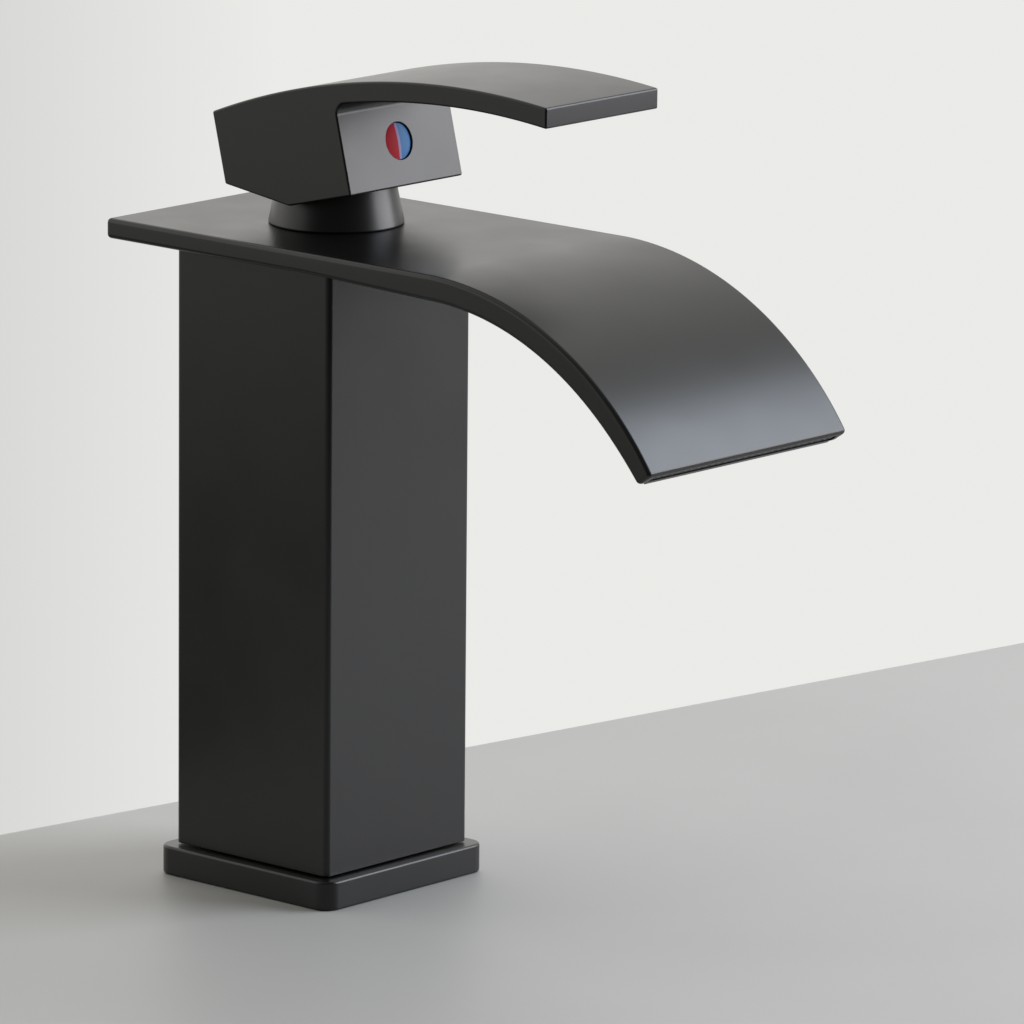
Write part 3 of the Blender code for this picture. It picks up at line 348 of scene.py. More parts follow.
finishes = {
    "matteCoat": finish("matteCoat", {
        "tone": (0.0040, 0.0040, 0.0041), "secondTone": (0.0052, 0.0051, 0.0050),
        "roughness": (0.30, 0.34), "settings": {"Grain per metre": 3200.0, "Swell per metre": 60.0},
        "bump": 0.02, "bumpStrength": 0.15, "worn": (0.02, 0.02, 0.021), "wearSharpness": 3.0,
    }),
    "castBrass": finish("castBrass", {
        "tone": (0.60, 0.43, 0.17), "secondTone": (0.46, 0.31, 0.12), "metallic": 1.0,
        "roughness": (0.26, 0.42), "bump": 0.06, "worn": (0.8, 0.62, 0.3),
        "settings": {"Grain per metre": 1400.0, "Swell per metre": 90.0},
    }),
    "zincSteel": finish("zincSteel", {
        "tone": (0.58, 0.59, 0.61), "secondTone": (0.47, 0.48, 0.50), "metallic": 1.0,
        "roughness": (0.22, 0.36), "effect": brush, "bump": 0.02, "worn": (0.75, 0.76, 0.78),
    }),
    "whiteAcetal": finish("whiteAcetal", {
        "tone": (0.78, 0.78, 0.75), "secondTone": (0.70, 0.70, 0.67),
        "roughness": (0.38, 0.5), "bump": 0.02,
    }),
    "greyNylon": finish("greyNylon", {
        "tone": (0.20, 0.205, 0.21), "secondTone": (0.15, 0.155, 0.16),
        "roughness": (0.45, 0.6), "bump": 0.05,
    }),
    "combPlastic": finish("combPlastic", {
        "tone": (0.070, 0.070, 0.073), "secondTone": (0.090, 0.090, 0.094),
        "roughness": (0.4, 0.5), "bump": 0.02,
    }),
    "discCeramic": finish("discCeramic", {
        "tone": (0.86, 0.84, 0.79), "secondTone": (0.80, 0.78, 0.73),
        "roughness": (0.14, 0.2), "bump": 0.005,
    }),
    "blackRubber": finish("blackRubber", {
        "tone": (0.018, 0.018, 0.018), "secondTone": (0.034, 0.033, 0.032),
        "roughness": (0.7, 0.85), "bump": 0.08, "specular": 0.35,
    }),
    "redEnamel": finish("redEnamel", {
        "tone": (0.46, 0.010, 0.022), "secondTone": (0.50, 0.014, 0.028),
        "roughness": (0.32, 0.38), "bump": 0.005, "specular": 0.05,
    }),
    "blueEnamel": finish("blueEnamel", {
        "tone": (0.022, 0.16, 0.42), "secondTone": (0.03, 0.19, 0.46),
        "roughness": (0.32, 0.38), "bump": 0.005, "specular": 0.12,
    }),
    # pale violet of the band between the colours: partly the band's own tone, partly a painted
    # highlight of the light across the dome
    "paleBandPaintedHighlight": finish("paleBandPaintedHighlight", {
        "tone": (0.30, 0.24, 0.45), "secondTone": (0.34, 0.28, 0.50),
        "roughness": (0.32, 0.38), "bump": 0.005, "specular": 0.12,
    }),
}
print("finishes ready:", len(finishes))


# base plate and column

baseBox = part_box("base_plate")
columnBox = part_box("column_shell")
base = {
    "side": baseBox[1][0] - baseBox[0][0],
    "height": baseBox[1][2],
    "cornerRadius": 4.0 * mm,
    "topEdge": 0.6 * mm,
    "lowEdge": 0.6 * mm,
    "bore": 17.0 * mm,
    "grooveRim": 3.6 * mm,
    "grooveWidth": 4.2 * mm,
    "grooveDepth": 1.8 * mm,
}
column = {
    "side": columnBox[1][0] - columnBox[0][0],
    "bottom": columnBox[0][2],
    "top": columnBox[1][2],
    "cornerRadius": 1.3 * mm,
    "wall": 2.2 * mm,
    "leastInside": 0.5 * mm,  # radius of the corners inside
    "endEdge": 0.25 * mm,
}


def squareTube(outer, radius, wall, bottom, top, steps=8):
    bm = bmesh.new()
    loops = []
    inside = max(radius - wall, column["leastInside"])
    for side, corner in ((outer, radius), (outer - 2 * wall, inside)):
        outline = roundedSquare(side, corner, steps)
        loops += [[bm.verts.new((x, y, height)) for x, y in outline] for height in (bottom, top)]
    outerLow, outerHigh, innerLow, innerHigh = loops
    around = [outerLow, outerHigh, innerHigh, innerLow, outerLow]
    for first, second in zip(around, around[1:]):
        for i, vert in enumerate(first):
            j = (i + 1) % len(first)
            bm.faces.new((vert, first[j], second[j], second[i]))
    bmesh.ops.recalc_face_normals(bm, faces=bm.faces)
    return bm


def makeBase():
    outline = roundedSquare(base["side"], base["cornerRadius"], 12)
    bm = prism(outline, 0, base["height"])
    middle = base["height"] / 2
    bevelled(bm, base["topEdge"], 6, lambda edge: all(v.co.z > middle for v in edge.verts), 60)
    bevelled(bm, base["lowEdge"], 4, lambda edge: all(v.co.z < level for v in edge.verts), 60)
    plate = asObject("basePlate", bm)
    rim = base["side"] - 2 * base["grooveRim"]
    groove = squareTube(rim, base["cornerRadius"], base["grooveWidth"], -past, base["grooveDepth"])
    bore = prism(disc(base["bore"], steps=96), -past, base["height"] + past)
    carve(plate, groove, bore)
    finishPiece(plate, "fixed_body", ["base_plate"], finishes["matteCoat"])


def makeColumn():
    outer, radius, wall = column["side"], column["cornerRadius"], column["wall"]
    tube = squareTube(outer, radius, wall, column["bottom"], column["top"], 10)
    bevelled(tube, column["endEdge"], 3, isLevel, 60)
    shell = asObject("columnShell", tube)
    finishPiece(shell, "fixed_body", ["column_shell"], finishes["matteCoat"])


makeBase()
makeColumn()
print("base and column made")


# spout: a flat shell that turns down, its floor and the comb in its mouth

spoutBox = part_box("spout_shell")
spout = {
    "half": spoutBox[1][0],
    "rear": spoutBox[1][1],
    "top": spoutBox[1][2],
    "thickness": 4.6 * mm,
    "bendStart": 60.0 * mm,
    "bendRadius": 79.1 * mm,
    "bendAngle": math.radians(56.1),
    "bendThickness": 5.7 * mm,
    "tipThinning": 1.1 * mm,
    "topWall": 1.3 * mm,
    "sideWall": 2.2 * mm,
    "floor": 1.2 * mm,
    "edge": 1.0 * mm,
    "flatAhead": 2.0 * mm,  # of the thin plate, in front of the column
    "bendSteps": 72,
    "blendSteps": 12,
    "gap": 0.3 * mm,
    "sleeveBore": 13.0 * mm,
    "sleeveWall": 2.0 * mm,
    "portBack": 14.8 * mm,
    "portRadius": 3.0 * mm,
}
comb = {
    "recess": 0.3 * mm,
    "depth": 5.0 * mm,
    "teeth": 26,
    "tooth": 1.0 * mm,
    "rail": 0.4 * mm,
    "endBar": 1.0 * mm,
    "edge": 0.08 * mm,
}
swivel = Vector(joints["handle_swivel"]["pos_m"])
spoutLow = spout["top"] - spout["thickness"]


def bendPoint(radius, angle):
    middle = spout["top"] - spout["bendRadius"]
    return (-spout["bendStart"] - radius * math.sin(angle), middle + radius * math.cos(angle))


def lowRadius(angle, inset=0.0):
    thinning = spout["tipThinning"] * (angle / spout["bendAngle"]) ** 6
    return spout["bendRadius"] - spout["bendThickness"] + thinning + inset


def spoutLines(insetTop, insetLow, rear):
    angles = [spout["bendAngle"] * i / spout["bendSteps"] for i in range(spout["bendSteps"] + 1)]
    top = [(rear, spout["top"] - insetTop)]
    top += [bendPoint(spout["bendRadius"] - insetTop, angle) for angle in angles]
    front = -column["side"] / 2 - spout["flatAhead"]
    low = [(rear, spoutLow + insetLow), (front, spoutLow + insetLow)]
    low += blendDown(low[-1], insetLow)
    low += [bendPoint(lowRadius(angle, insetLow), angle) for angle in angles[1:]]
    return top, low


def blendDown(start, inset):
    # the underside eases from the thin plate to the thicker bend
    start = Vector(start)
    end = Vector(bendPoint(lowRadius(0.0, inset), 0.0))
    steps = spout["blendSteps"]
    return [tuple(start.lerp(end, i / steps)) for i in range(1, steps + 1)]


def makeSpout():
    top, low = spoutLines(0, 0, spout["rear"])
    bm = prism(top + low[::-1], -spout["half"], spout["half"], "X")
    shell = asObject("spoutShell", bevelled(bm, spout["edge"], 5))
    insideHalf = spout["half"] - spout["sideWall"]
    insideRear = spout["rear"] - spout["sideWall"]
    top = spoutLines(spout["topWall"], 0, insideRear)[0]
    low = spoutLines(0, -3 * past, insideRear)[1]
    outOfMouth = Vector((math.cos(spout["bendAngle"]), math.sin(spout["bendAngle"]))) * -4 * past
    for line in (top, low):
        line.append(tuple(Vector(line[-1]) + outOfMouth))
    waterway = asObject("waterway", prism(top + low[::-1], -insideHalf, insideHalf, "X"))
    sleeve = disc(spout["sleeveBore"] + spout["sleeveWall"], (0, swivel.y), 96)
    carve(waterway, prism(sleeve, spoutLow - 9 * past, spout["top"] + past))
    hollow = bmesh.new()
    hollow.from_mesh(waterway.data)
    bpy.data.objects.remove(waterway)
    bore = disc(spout["sleeveBore"], (0, swivel.y), 96)
    carve(shell, hollow, prism(bore, spoutLow - past, spout["top"] + past))
    finishPiece(shell, "fixed_body", ["spout_shell"], finishes["matteCoat"])
    makeSpoutFloor(insideHalf, insideRear)


def makeSpoutFloor(insideHalf, insideRear):
    rear = insideRear - spout["gap"]
    half = insideHalf - spout["gap"]
    high, low = spoutLines(0, spout["floor"], rear)[1], spoutLines(0, 0, rear)[1]
    floorPlate = asObject("spoutFloor", prism(high + low[::-1], -half, half, "X"))
    around = disc(spout["sleeveBore"] + spout["sleeveWall"] + spout["gap"], (0, swivel.y), 96)
    port = disc(spout["portRadius"], (0, spout["portBack"]), 32)
    carve(floorPlate, *[prism(hole, spoutLow - past, spout["top"]) for hole in (around, port)])
    finishPiece(floorPlate, "fixed_body", ["spout_floor"], finishes["matteCoat"])


def makeComb():
    last = spout["bendAngle"] - comb["recess"] / spout["bendRadius"]
    first = last - comb["depth"] / spout["bendRadius"]
    half = spout["half"] - spout["sideWall"] - spout["gap"]

    def band(inset, overrun):
        start = first - overrun / spout["bendRadius"]
        sweep = last + overrun / spout["bendRadius"] - start
        angles = [start + sweep * i / 6 for i in range(7)]
        upper = spout["bendRadius"] - spout["topWall"] - inset
        above = [bendPoint(upper, angle) for angle in angles]
        under = [bendPoint(lowRadius(angle, spout["floor"] + inset), angle) for angle in angles]
        return above + under[::-1]

    body = asObject("outletComb", prism(band(spout["gap"], 0), -half, half, "X"))
    opening = band(spout["gap"] + comb["rail"], past / 2)
    pitch = (2 * half - 2 * comb["endBar"] + comb["tooth"]) / (comb["teeth"] + 1)
    slots = []
    for i in range(comb["teeth"] + 1):
        start = -half + comb["endBar"] + i * pitch
        slots.append(prism(opening, start, start + pitch - comb["tooth"], "X"))
    carve(body, *slots)
    look = finishes["combPlastic"]
    finishPiece(body, "fixed_body", ["outlet_comb"], look, edge=comb["edge"])


makeSpout()
makeComb()
print("spout and comb made")


# collar over the cartridge

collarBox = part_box("collar")
collar = {
    "radius": collarBox[1][0],
    "bottom": collarBox[0][2] - 0.29 * mm,  # down onto the spout plate
    "top": collarBox[1][2],
    "taper": 1.6 / 7.5,
    "edge": 0.45 * mm,
    "wall": 1.2 * mm,
    "hole": 7.8 * mm,
    "thread": 14.2 * mm,
    "threadTop": 1.8 * mm,
}


def makeCollar():
    topRadius = collar["radius"] - collar["taper"] * (collar["top"] - collar["bottom"])
    inside = topRadius - collar["wall"]
    threadTop = collar["bottom"] + collar["threadTop"]
    profile = softened([
        (collar["hole"], collar["top"]),
        (topRadius, collar["top"]),
        (collar["radius"], collar["bottom"]),
        (collar["thread"], collar["bottom"]),
        (collar["thread"], threadTop),
        (inside, threadTop),
        (inside, collar["top"] - collar["wall"]),
        (collar["hole"], collar["top"] - collar["wall"]),
    ], collar["edge"])
    ring = asObject("taperedCollar", turned(profile, (0, swivel.y), 128))
    finishPiece(ring, "fixed_body", ["collar"], finishes["matteCoat"], 50)


makeCollar()
print("collar made")


# lever, modelled closed about its pivot and then tipped up to its rest

lift = {
    "rest": math.radians(14.0),
    "most": math.radians(25.0),
}
lever = {
    "half": 18.4 * mm,
    "back": 16.6 * mm,
    "front": 20.9 * mm,
    "bottom": 4.1 * mm,
    "heel": 1.64 * mm,
    "heelAngle": math.radians(21.5),
    "crestForward": 10.0 * mm,
    "crestHeight": 21.2 * mm,
    "crownRadius": 205.0 * mm,
    "bladeThickness": 4.6 * mm,
    "bladeTip": 82.9 * mm,
    "fillet": 2.5 * mm,
    "edge": 0.45 * mm,
    "wall": 3.0 * mm,
    "backWall": 1.4 * mm,
    "web": 3.1 * mm,
    "ceiling": 8.5 * mm,
    "frontWall": 15.6 * mm,
    "slopeStart": 2.3 * mm,  # of the cavity's ceiling, behind the stem's socket
    "socketX": 2.5 * mm,
    "socketY": 2.7 * mm,
    "stemTop": 14.3 * mm,
}
plug = {
    "radius": 4.08 * mm,
    "height": 5.96 * mm,
    "thickness": 1.6 * mm,
    "inset": 0.06 * mm,
    "gap": 0.12 * mm,
    "markRim": 0.05 * mm,
    "markDepth": 0.7 * mm,
    # width of the pale strip between the colours, whose tone is partly a painted highlight
    "band": 0.8 * mm,
    "crown": 0.36 * mm,
    "seam": 0.02 * mm,  # between the colours and what holds them
    "mouthEdge": 0.18 * mm,
    "grub": 2.2 * mm,
    "grubEnd": -2.4 * mm,
}
pivot = Vector(joints["handle_lift"]["pos_m"])
leverFrame = Matrix.Translation(pivot) @ Matrix.Rotation(-lift["rest"], 4, "X")


def crownHeight(radius, y):
    middle = lever["crestHeight"] - lever["crownRadius"]
    return middle + math.sqrt(radius ** 2 - (y + lever["crestForward"]) ** 2)


def leverOutline():
    crownSteps, bladeSteps, filletSteps = 64, 48, 10
    reach = lever["back"] + lever["bladeTip"]
    points = []
    for i in range(crownSteps + 1):
        y = lever["back"] - reach * i / crownSteps
        points.append((y, crownHeight(lever["crownRadius"], y)))
    tipUnder = -lever["bladeTip"] + lever["bladeThickness"] * math.tan(lift["rest"])
    filletY = -lever["front"] - lever["fillet"]
    for i in range(bladeSteps + 1):
        y = tipUnder + (filletY - tipUnder) * i / bladeSteps
        points.append((y, crownHeight(lever["crownRadius"] - lever["bladeThickness"], y)))
    filletZ = points[-1][1] - lever["fillet"]
    for i in range(1, filletSteps + 1):
        turn = math.pi / 2 * i / filletSteps
        ahead, rise = lever["fillet"] * math.sin(turn), lever["fillet"] * math.cos(turn)
        points.append((filletY + ahead, filletZ + rise))
    heelRise = (lever["back"] + lever["heel"]) * math.tan(lever["heelAngle"])
    points += [
        (-lever["front"], -lever["bottom"]),
        (-lever["heel"], -lever["bottom"]),
        (lever["back"], -lever["bottom"] + heelRise),
    ]
    return points


def makeLever():
    bm = prism(leverOutline(), -lever["half"], lever["half"], "X")
    handle = asObject("leverHandle", bevelled(bm, lever["edge"], 5, sharper=18))
    slope = lever["socketY"] + lever["slopeStart"]
    back = lever["back"] - lever["backWall"]
    below = -lever["bottom"] - 4 * past
    cavity = [
        (-lever["frontWall"], below),
        (-lever["frontWall"], lever["web"]),
        (0, lever["web"]),
        (slope, lever["web"] + slope * math.tan(lift["most"])),
        (slope, lever["ceiling"]),
        (back, lever["ceiling"]),
        (back, below),
    ]
    inside = lever["half"] - lever["wall"]
    x, y = lever["socketX"], lever["socketY"]
    socket = prism([(-x, -y), (x, -y), (x, y), (-x, y)], lever["web"] - 2 * past, lever["stemTop"])
    plugBack = -lever["front"] + plug["inset"] + plug["thickness"]
    bore = prism(disc(plug["grub"], (0, plug["height"]), 40), plugBack, plug["grubEnd"], "Y")
    recessRadius = plug["radius"] + plug["gap"]
    recessDisc = disc(recessRadius, (0, plug["height"]), 96)
    recess = prism(recessDisc, -lever["front"] - 2 * past, plugBack + plug["gap"], "Y")
    carve(handle, prism(cavity, -inside, inside, "X"), socket, bore, recess)
    mouth = Vector((0, -lever["front"], plug["height"]))

    def onMouth(edge):
        return all(
            abs(v.co.y - mouth.y) < 0.01 * mm and abs((v.co - mouth).length - recessRadius) < 0.05 * mm
            for v in edge.verts
        )

    bm = bmesh.new()
    bm.from_mesh(handle.data)
    bevelled(bm, plug["mouthEdge"], 3, onMouth, 60)
    bm.to_mesh(handle.data)
    bm.free()
    look = finishes["matteCoat"]
    finishPiece(handle, "lever", ["lever_handle"], look, matrix=leverFrame)


def domedDisc(radius, face, back, crown):
    # a disc about the plug's centre with a gently crowned front, pointing to -Y
    sphere = (radius ** 2 + crown ** 2) / (2 * crown)
    steps = 8
    profile = [(0, -back), (radius, -back)]
    for i in range(steps + 1):
        spot = radius * (1 - i / steps)
        rise = math.sqrt(sphere ** 2 - spot ** 2) - (sphere - crown)
        profile.append((spot, -face - crown + rise))
    bm = turned(profile, (0, 0), 96)
    turn = Matrix.Translation((0, 0, plug["height"])) @ Matrix.Rotation(math.radians(90), 4, "X")
    bmesh.ops.transform(bm, matrix=turn, verts=bm.verts)
    return bm


def plugStrip(left, right, face, back):
    # an upright slab through the plug, from one width to the other
    low, high = plug["height"] - 4 * plug["radius"], plug["height"] + 4 * plug["radius"]
    outline = [(left, low), (right, low), (right, high), (left, high)]
    return prism(outline, face - 3 * past, back, "Y")


def makePlug():
    face = -lever["front"] + plug["inset"]
    back = face + plug["thickness"]
    markBack = face + plug["markDepth"]
    markRadius = plug["radius"] - plug["markRim"]
    centre = (0, plug["height"])
    body = asObject("indicatorPlug", domedDisc(plug["radius"], face, back, plug["crown"]))
    cover = prism(disc(markRadius + plug["seam"], centre, 96), face - past, markBack, "Y")
    pocketPair = asObject("pocketPair", cover)
    half = plug["band"] / 2 - plug["seam"]
    carve(pocketPair, plugStrip(-half, half, face, back))
    pockets = bmesh.new()
    pockets.from_mesh(pocketPair.data)
    bpy.data.objects.remove(pocketPair)
    carve(body, pockets)
    # the body shows as the pale violet band between the colours, its tone partly a painted highlight
    look = finishes["paleBandPaintedHighlight"]
    finishPiece(body, "lever", ["indicator_plug"], look, matrix=leverFrame)
    for side, name, colour in ((-1, "Hot", "red"), (1, "Cold", "blue")):
        dome = domedDisc(plug["radius"], face, markBack, plug["crown"])
        mark = asObject("indicator" + name, dome)
        left, right = sorted((side * plug["band"] / 2, side * 2 * plug["radius"]))
        rim = prism(disc(markRadius, centre, 96), face - 3 * past, back, "Y")
        carve(mark, plugStrip(left, right, face, back), rim, operation="INTERSECT")
        node = f"indicator_{name.lower()}_mark"
        look = finishes[colour + "Enamel"]
        finishPiece(mark, "lever", [node], look, matrix=leverFrame)


makeLever()
makePlug()
print("lever and indicator made")


# clamp under the deck: threaded stud, rubber pad, horseshoe and nut

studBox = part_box("mounting_stud")
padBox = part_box("clamp_rubber_pad")
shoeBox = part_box("clamp_horseshoe")
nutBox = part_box("stud_nut")
clamp = {
    "studRadius": (studBox[1][0] - studBox[0][0]) / 2,
    "studY": (studBox[0][1] + studBox[1][1]) / 2,
    "pitch": 1.25 * mm,
    "threadDepth": 0.68 * mm,
    "rootFlat": 1.15,  # over 1 leaves a flat at the thread's root
    "threadAround": 32,
    "threadRows": 6,
    "tipTaper": 0.7 * mm,
    "radius": padBox[1][1],
    "slot": 30.6 * mm,
    "slotBack": 1.5 * mm,
    "slotCorner": 4.0 * mm,
    "hole": 4.6 * mm,  # for the stud
    "padEdge": 0.5 * mm,
    "shoeEdge": 0.3 * mm,
    "flats": 13.0 * mm,
    "nutBore": 4.3 * mm,
    "nutChamfer": 0.45 * mm,
    "nutLand": 0.2 * mm,  # how far the end faces stay inside the flats
    "nutRise": 0.62,  # of the corner's chamfer, up to its run in
    "nutClear": 0.1 * mm,
}


def makeStud():
    # the surface follows a helical V thread, and narrows at both tips
    bottom, top = studBox[0][2], studBox[1][2]
    rows = round((top - bottom) / clamp["pitch"] * clamp["threadRows"])
    around = clamp["threadAround"]
    bm = bmesh.new()
    rings = []
    for row in range(rows + 1):
        z = bottom + (top - bottom) * row / rows
        lead = min(z - bottom, top - z)
        taper = max(0.0, clamp["tipTaper"] - lead)
        ring = []
        for i in range(around):
            phase = (z / clamp["pitch"] - i / around) % 1.0
            valley = abs(2 * phase - 1)
            cut = max(clamp["threadDepth"] * min(1.0, valley * clamp["rootFlat"]), taper)
            radius = clamp["studRadius"] - cut
            angle = math.tau * i / around
            x, y = radius * math.cos(angle), clamp["studY"] + radius * math.sin(angle)
            ring.append(bm.verts.new((x, y, z)))
        rings.append(ring)
    for low, high in zip(rings, rings[1:]):
        for i in range(around):
            j = (i + 1) % around
            bm.faces.new((low[i], low[j], high[j], high[i]))
    bm.faces.new(rings[0][::-1])
    bm.faces.new(rings[-1])
    stud = asObject("threadedStud", bm)
    finishPiece(stud, "fixed_body", ["mounting_stud"], finishes["zincSteel"], 60)


def horseshoe():
    half = clamp["slot"] / 2
    start = math.asin(half / clamp["radius"])
    outline = disc(clamp["radius"], (0, 0), 80, -math.pi / 2 + start, math.tau - 2 * start)
    corner = clamp["slotCorner"]
    inner = clamp["slotBack"] - corner
    outline += disc(corner, (-half + corner, inner), 8, math.pi, -math.pi / 2)
    outline += disc(corner, (half - corner, inner), 8, math.pi / 2, -math.pi / 2)
    return outline


def makeClamp():
    makeStud()
    hole = disc(clamp["hole"], (0, clamp["studY"]), 40)
    for name, node, box, edge, slot, look in (
        ("clampPad", "clamp_rubber_pad", padBox, "padEdge", "rubber", "blackRubber"),
        ("clampHorseshoe", "clamp_horseshoe", shoeBox, "shoeEdge", "steel", "zincSteel"),
    ):
        bm = prism(horseshoe(), box[0][2], box[1][2])
        bevelled(bm, clamp[edge], 3, isLevel, 60)
        plate = asObject(name, bm)
        carve(plate, prism(hole, box[0][2] - past, box[1][2] + past))
        finishPiece(plate, "fixed_body", [node], finishes[look], 40)
    makeNut()


def makeNut():
    bottom, top = nutBox[0][2], nutBox[1][2]
    corner = clamp["flats"] / math.sqrt(3)
    hexagon = disc(corner, (0, clamp["studY"]), 6)
    nut = asObject("hexNut", prism(hexagon, bottom, top))
    rise = (corner - clamp["flats"] / 2) * clamp["nutRise"]
    land = clamp["flats"] / 2 - clamp["nutLand"]
    outside = corner + clamp["nutClear"]
    barrel = [
        (0, bottom), (land, bottom), (outside, bottom + rise),
        (outside, top - rise), (land, top), (0, top),
    ]
    carve(nut, turned(barrel, (0, clamp["studY"]), 96), operation="INTERSECT")
    inside, chamfer = clamp["nutBore"], clamp["nutChamfer"]
    mouth = inside + chamfer + past
    bore = [
        (0, bottom - past), (mouth, bottom - past), (inside, bottom + chamfer),
        (inside, top - chamfer), (mouth, top + past), (0, top + past),
    ]
    carve(nut, turned(bore, (0, clamp["studY"]), 48))
    finishPiece(nut, "fixed_body", ["stud_nut"], finishes["zincSteel"])


makeClamp()
print("clamp made")


# finishes for the CAD nodes that are shown as they are

carried = {
    "blackRubber": ("base_gasket", "spout_seal", "inlet_seal_hot", "inlet_seal_cold", "outlet_seal"),
    "castBrass": (
        "inlet_block", "riser_tube_hot", "riser_tube_cold", "valve_body", "cartridge_lock_nut",
    ),
    "greyNylon": ("cartridge_housing", "cartridge_base"),
    "whiteAcetal": ("cartridge_rotor", "disc_carrier"),
    "discCeramic": ("fixed_ceramic_disc", "moving_ceramic_disc"),
    "zincSteel": ("pivot_pin", "cartridge_stem", "handle_grub_screw"),
}
for look, nodes in carried.items():
    for node in nodes:
        thing = frame["nodes"][node]
        for place in thing.material_slots:
            place.material = finishes[look]
print("CAD nodes finished:", sum(len(nodes) for nodes in carried.values()))


# stage: a plain grey counter, soft light and the camera

stage = {
    "backLeft": Vector((-24.9, 78.0, 0)) * mm,
    "backRight": Vector((291.5, 30.4, 0)) * mm,
    "width": 3.2,
    "depth": 0.42,
    "thickness": 29.5 * mm,
    "edge": 2.5 * mm,
    "tone": (0.505, 0.505, 0.49),
    "secondTone": (0.45, 0.45, 0.435),
    "roughness": (0.44, 0.54),
    "specular": 0.4,
    "cloudsPerMetre": 9.0,
}
light = {
    "wall": (0.83, 0.83, 0.81),
    # painted shade: the wall the camera sees is darker on the left, blended in over this span of
    # headings
    "wallPaintedShadeLeft": (0.69, 0.69, 0.68),
    "wallPaintedShadeSpan": (-0.056, -0.026),
    "room": (1.0, 0.985, 0.95),
    "roomTowards": (0.5, 0.85, 0),
    "roomSpan": (-0.7, 0.9),  # how squarely a ray must face the bright side, from dark to bright
    "roomStrength": (0.10, 1.15),
    "horizon": (-0.25, 0.05),
    "belowSpan": (0.35, 0.9),
    "belowHorizon": (0.12, 0.42),
    "panels": {
        "keySoftbox": {
            "tint": (0.96, 0.96, 1.0), "radiance": 5.6,
            "turn": -44, "away": 0.9, "size": (0.66, 0.40), "low": 0.08,
        },
        "keyTop": {
            "tint": (0.80, 0.88, 1.0), "radiance": 6.6,
            "turn": -44, "away": 0.9, "size": (0.66, 0.55), "low": 0.48,
        },
        "leftCard": {
            "tint": (1.0, 0.985, 0.95), "radiance": 0.42,
            "turn": 138, "away": 0.45, "size": (0.55, 0.42), "low": 0.04,
        },
    },
}
view = {
    "place": (-1.49216, -1.39118, 0.52922),
    "azimuth": math.radians(-48.199),
    "elevation": math.radians(12.321),
    "roll": math.radians(0.491),
    "lens": 326.6,
}


def makeStage():
    along = (stage["backRight"] - stage["backLeft"]).normalized()
    toward = Vector((along.y, -along.x, 0))
    middle = (stage["backLeft"] + stage["backRight"]) / 2
    corners = [
        middle - along * stage["width"] / 2,
        middle + along * stage["width"] / 2,
        middle + along * stage["width"] / 2 + toward * stage["depth"],
        middle - along * stage["width"] / 2 + toward * stage["depth"],
    ]
    bm = prism([(corner.x, corner.y) for corner in corners], -stage["thickness"], 0)
    counter = asObject("counterSlab", bevelled(bm, stage["edge"], 4))
    material = bpy.data.materials.new("counterTone")
    material.use_nodes = True
    tree = material.node_tree
    shader = tree.nodes["Principled BSDF"]
    shader.inputs["Specular IOR Level"].default_value = stage["specular"]
    place = tree.nodes.new("ShaderNodeTexCoord").outputs["Object"]
    cloud = noise(tree, place, stage["cloudsPerMetre"], 4.0)
    mottle = blended(tree, cloud, stage["tone"], stage["secondTone"])
    tree.links.new(mottle, shader.inputs["Base Color"])
    tree.links.new(mapped(tree, cloud, (0.0, 1.0), stage["roughness"]), shader.inputs["Roughness"])
    counter.data.materials.append(material)


def towards(tree, heading, direction):
    # how squarely a ray's heading faces this direction
    node = tree.nodes.new("ShaderNodeVectorMath")
    node.operation = "DOT_PRODUCT"
    node.inputs[1].default_value = direction
    tree.links.new(heading, node.inputs[0])
    return node.outputs["Value"]


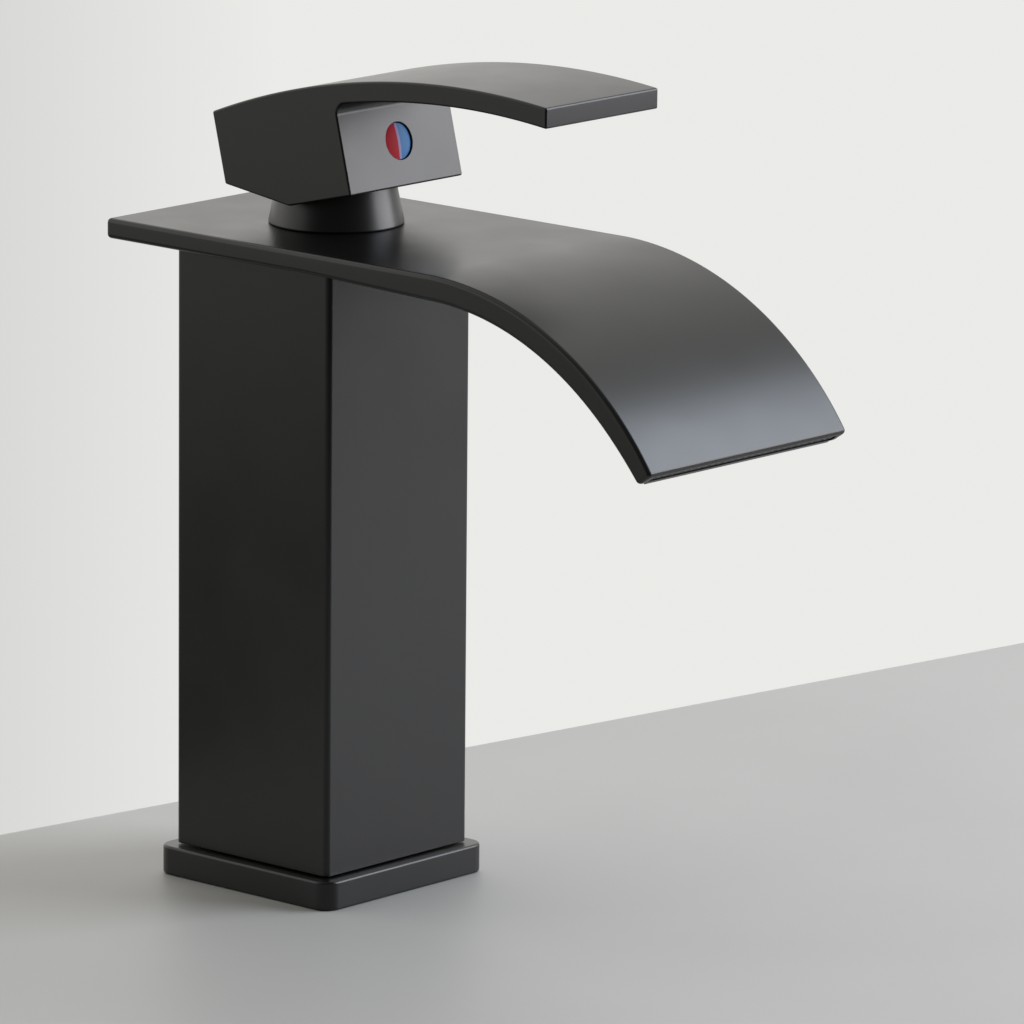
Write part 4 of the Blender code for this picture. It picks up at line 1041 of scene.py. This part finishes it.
def makeWorld():
    # a pale wall for the eye, with painted shade that darkens it towards the left, and a room that is
    # brighter towards the back right for the light
    world = bpy.data.worlds.new("softRoom")
    world.use_nodes = True
    bpy.context.scene.world = world
    tree = world.node_tree
    leave = tree.nodes["World Output"]
    room = tree.nodes["Background"]
    room.inputs["Color"].default_value = (*light["room"], 1)
    heading = tree.nodes.new("ShaderNodeTexCoord").outputs["Generated"]
    facing = towards(tree, heading, Vector(light["roomTowards"]).normalized())
    sideways = mapped(tree, facing, light["roomSpan"], light["roomStrength"], smooth=True)
    apart = tree.nodes.new("ShaderNodeSeparateXYZ")
    tree.links.new(heading, apart.inputs[0])
    below = mapped(tree, facing, light["belowSpan"], light["belowHorizon"])
    height = mapped(tree, apart.outputs["Z"], light["horizon"], (below, 1.0), smooth=True)
    tree.links.new(maths(tree, "MULTIPLY", sideways, height), room.inputs["Strength"])
    # painted shade: the wall the camera sees goes from its pale tone on the right to a darker one on
    # the left
    rightward = (math.cos(view["azimuth"]), math.sin(view["azimuth"]), 0)
    paintedShade = mapped(tree, towards(tree, heading, rightward), light["wallPaintedShadeSpan"], (0.0, 1.0))
    wall = tree.nodes.new("ShaderNodeBackground")
    tree.links.new(blended(tree, paintedShade, light["wallPaintedShadeLeft"], light["wall"]), wall.inputs["Color"])
    pick = tree.nodes.new("ShaderNodeMixShader")
    tree.links.new(tree.nodes.new("ShaderNodeLightPath").outputs["Is Camera Ray"], pick.inputs["Fac"])
    tree.links.new(room.outputs[0], pick.inputs[1])
    tree.links.new(wall.outputs[0], pick.inputs[2])
    tree.links.new(pick.outputs[0], leave.inputs["Surface"])


def makePanel(name, panel):
    # an upright glowing panel that faces the faucet, left out of the picture itself
    lamp = bpy.data.lights.new(name, "AREA")
    lamp.shape = "RECTANGLE"
    lamp.size, lamp.size_y = panel["size"]
    lamp.energy = panel["radiance"] * math.pi * lamp.size * lamp.size_y
    lamp.color = panel["tint"]
    thing = bpy.data.objects.new(name, lamp)
    bpy.context.scene.collection.objects.link(thing)
    turn = math.radians(panel["turn"])
    heading = Vector((math.cos(turn), math.sin(turn), 0))
    thing.location = heading * panel["away"]
    thing.location.z = panel["low"] + lamp.size_y / 2
    thing.rotation_euler = heading.to_track_quat("Z", "Y").to_euler()
    thing.visible_camera = False


def makeCamera():
    a, e, r = view["azimuth"], view["elevation"], view["roll"]
    back = Vector((math.sin(a) * math.cos(e), -math.cos(a) * math.cos(e), math.sin(e)))
    right = Vector((math.cos(a), math.sin(a), 0))
    up = back.cross(right)
    across = right * math.cos(r) + up * math.sin(r)
    upright = up * math.cos(r) - right * math.sin(r)
    lens = bpy.data.cameras.new("camera")
    lens.lens = view["lens"]
    lens.sensor_width = 36.0
    lens.clip_start = 0.05
    camera = bpy.data.objects.new("camera", lens)
    bpy.context.scene.collection.objects.link(camera)
    turn = Matrix((across, upright, back)).transposed().to_4x4()
    camera.matrix_world = Matrix.Translation(view["place"]) @ turn
    bpy.context.scene.camera = camera


makeStage()
makeWorld()
for name, panel in light["panels"].items():
    makePanel(name, panel)
makeCamera()
bpy.context.scene.view_settings.view_transform = "Standard"
print("stage, light and camera set")
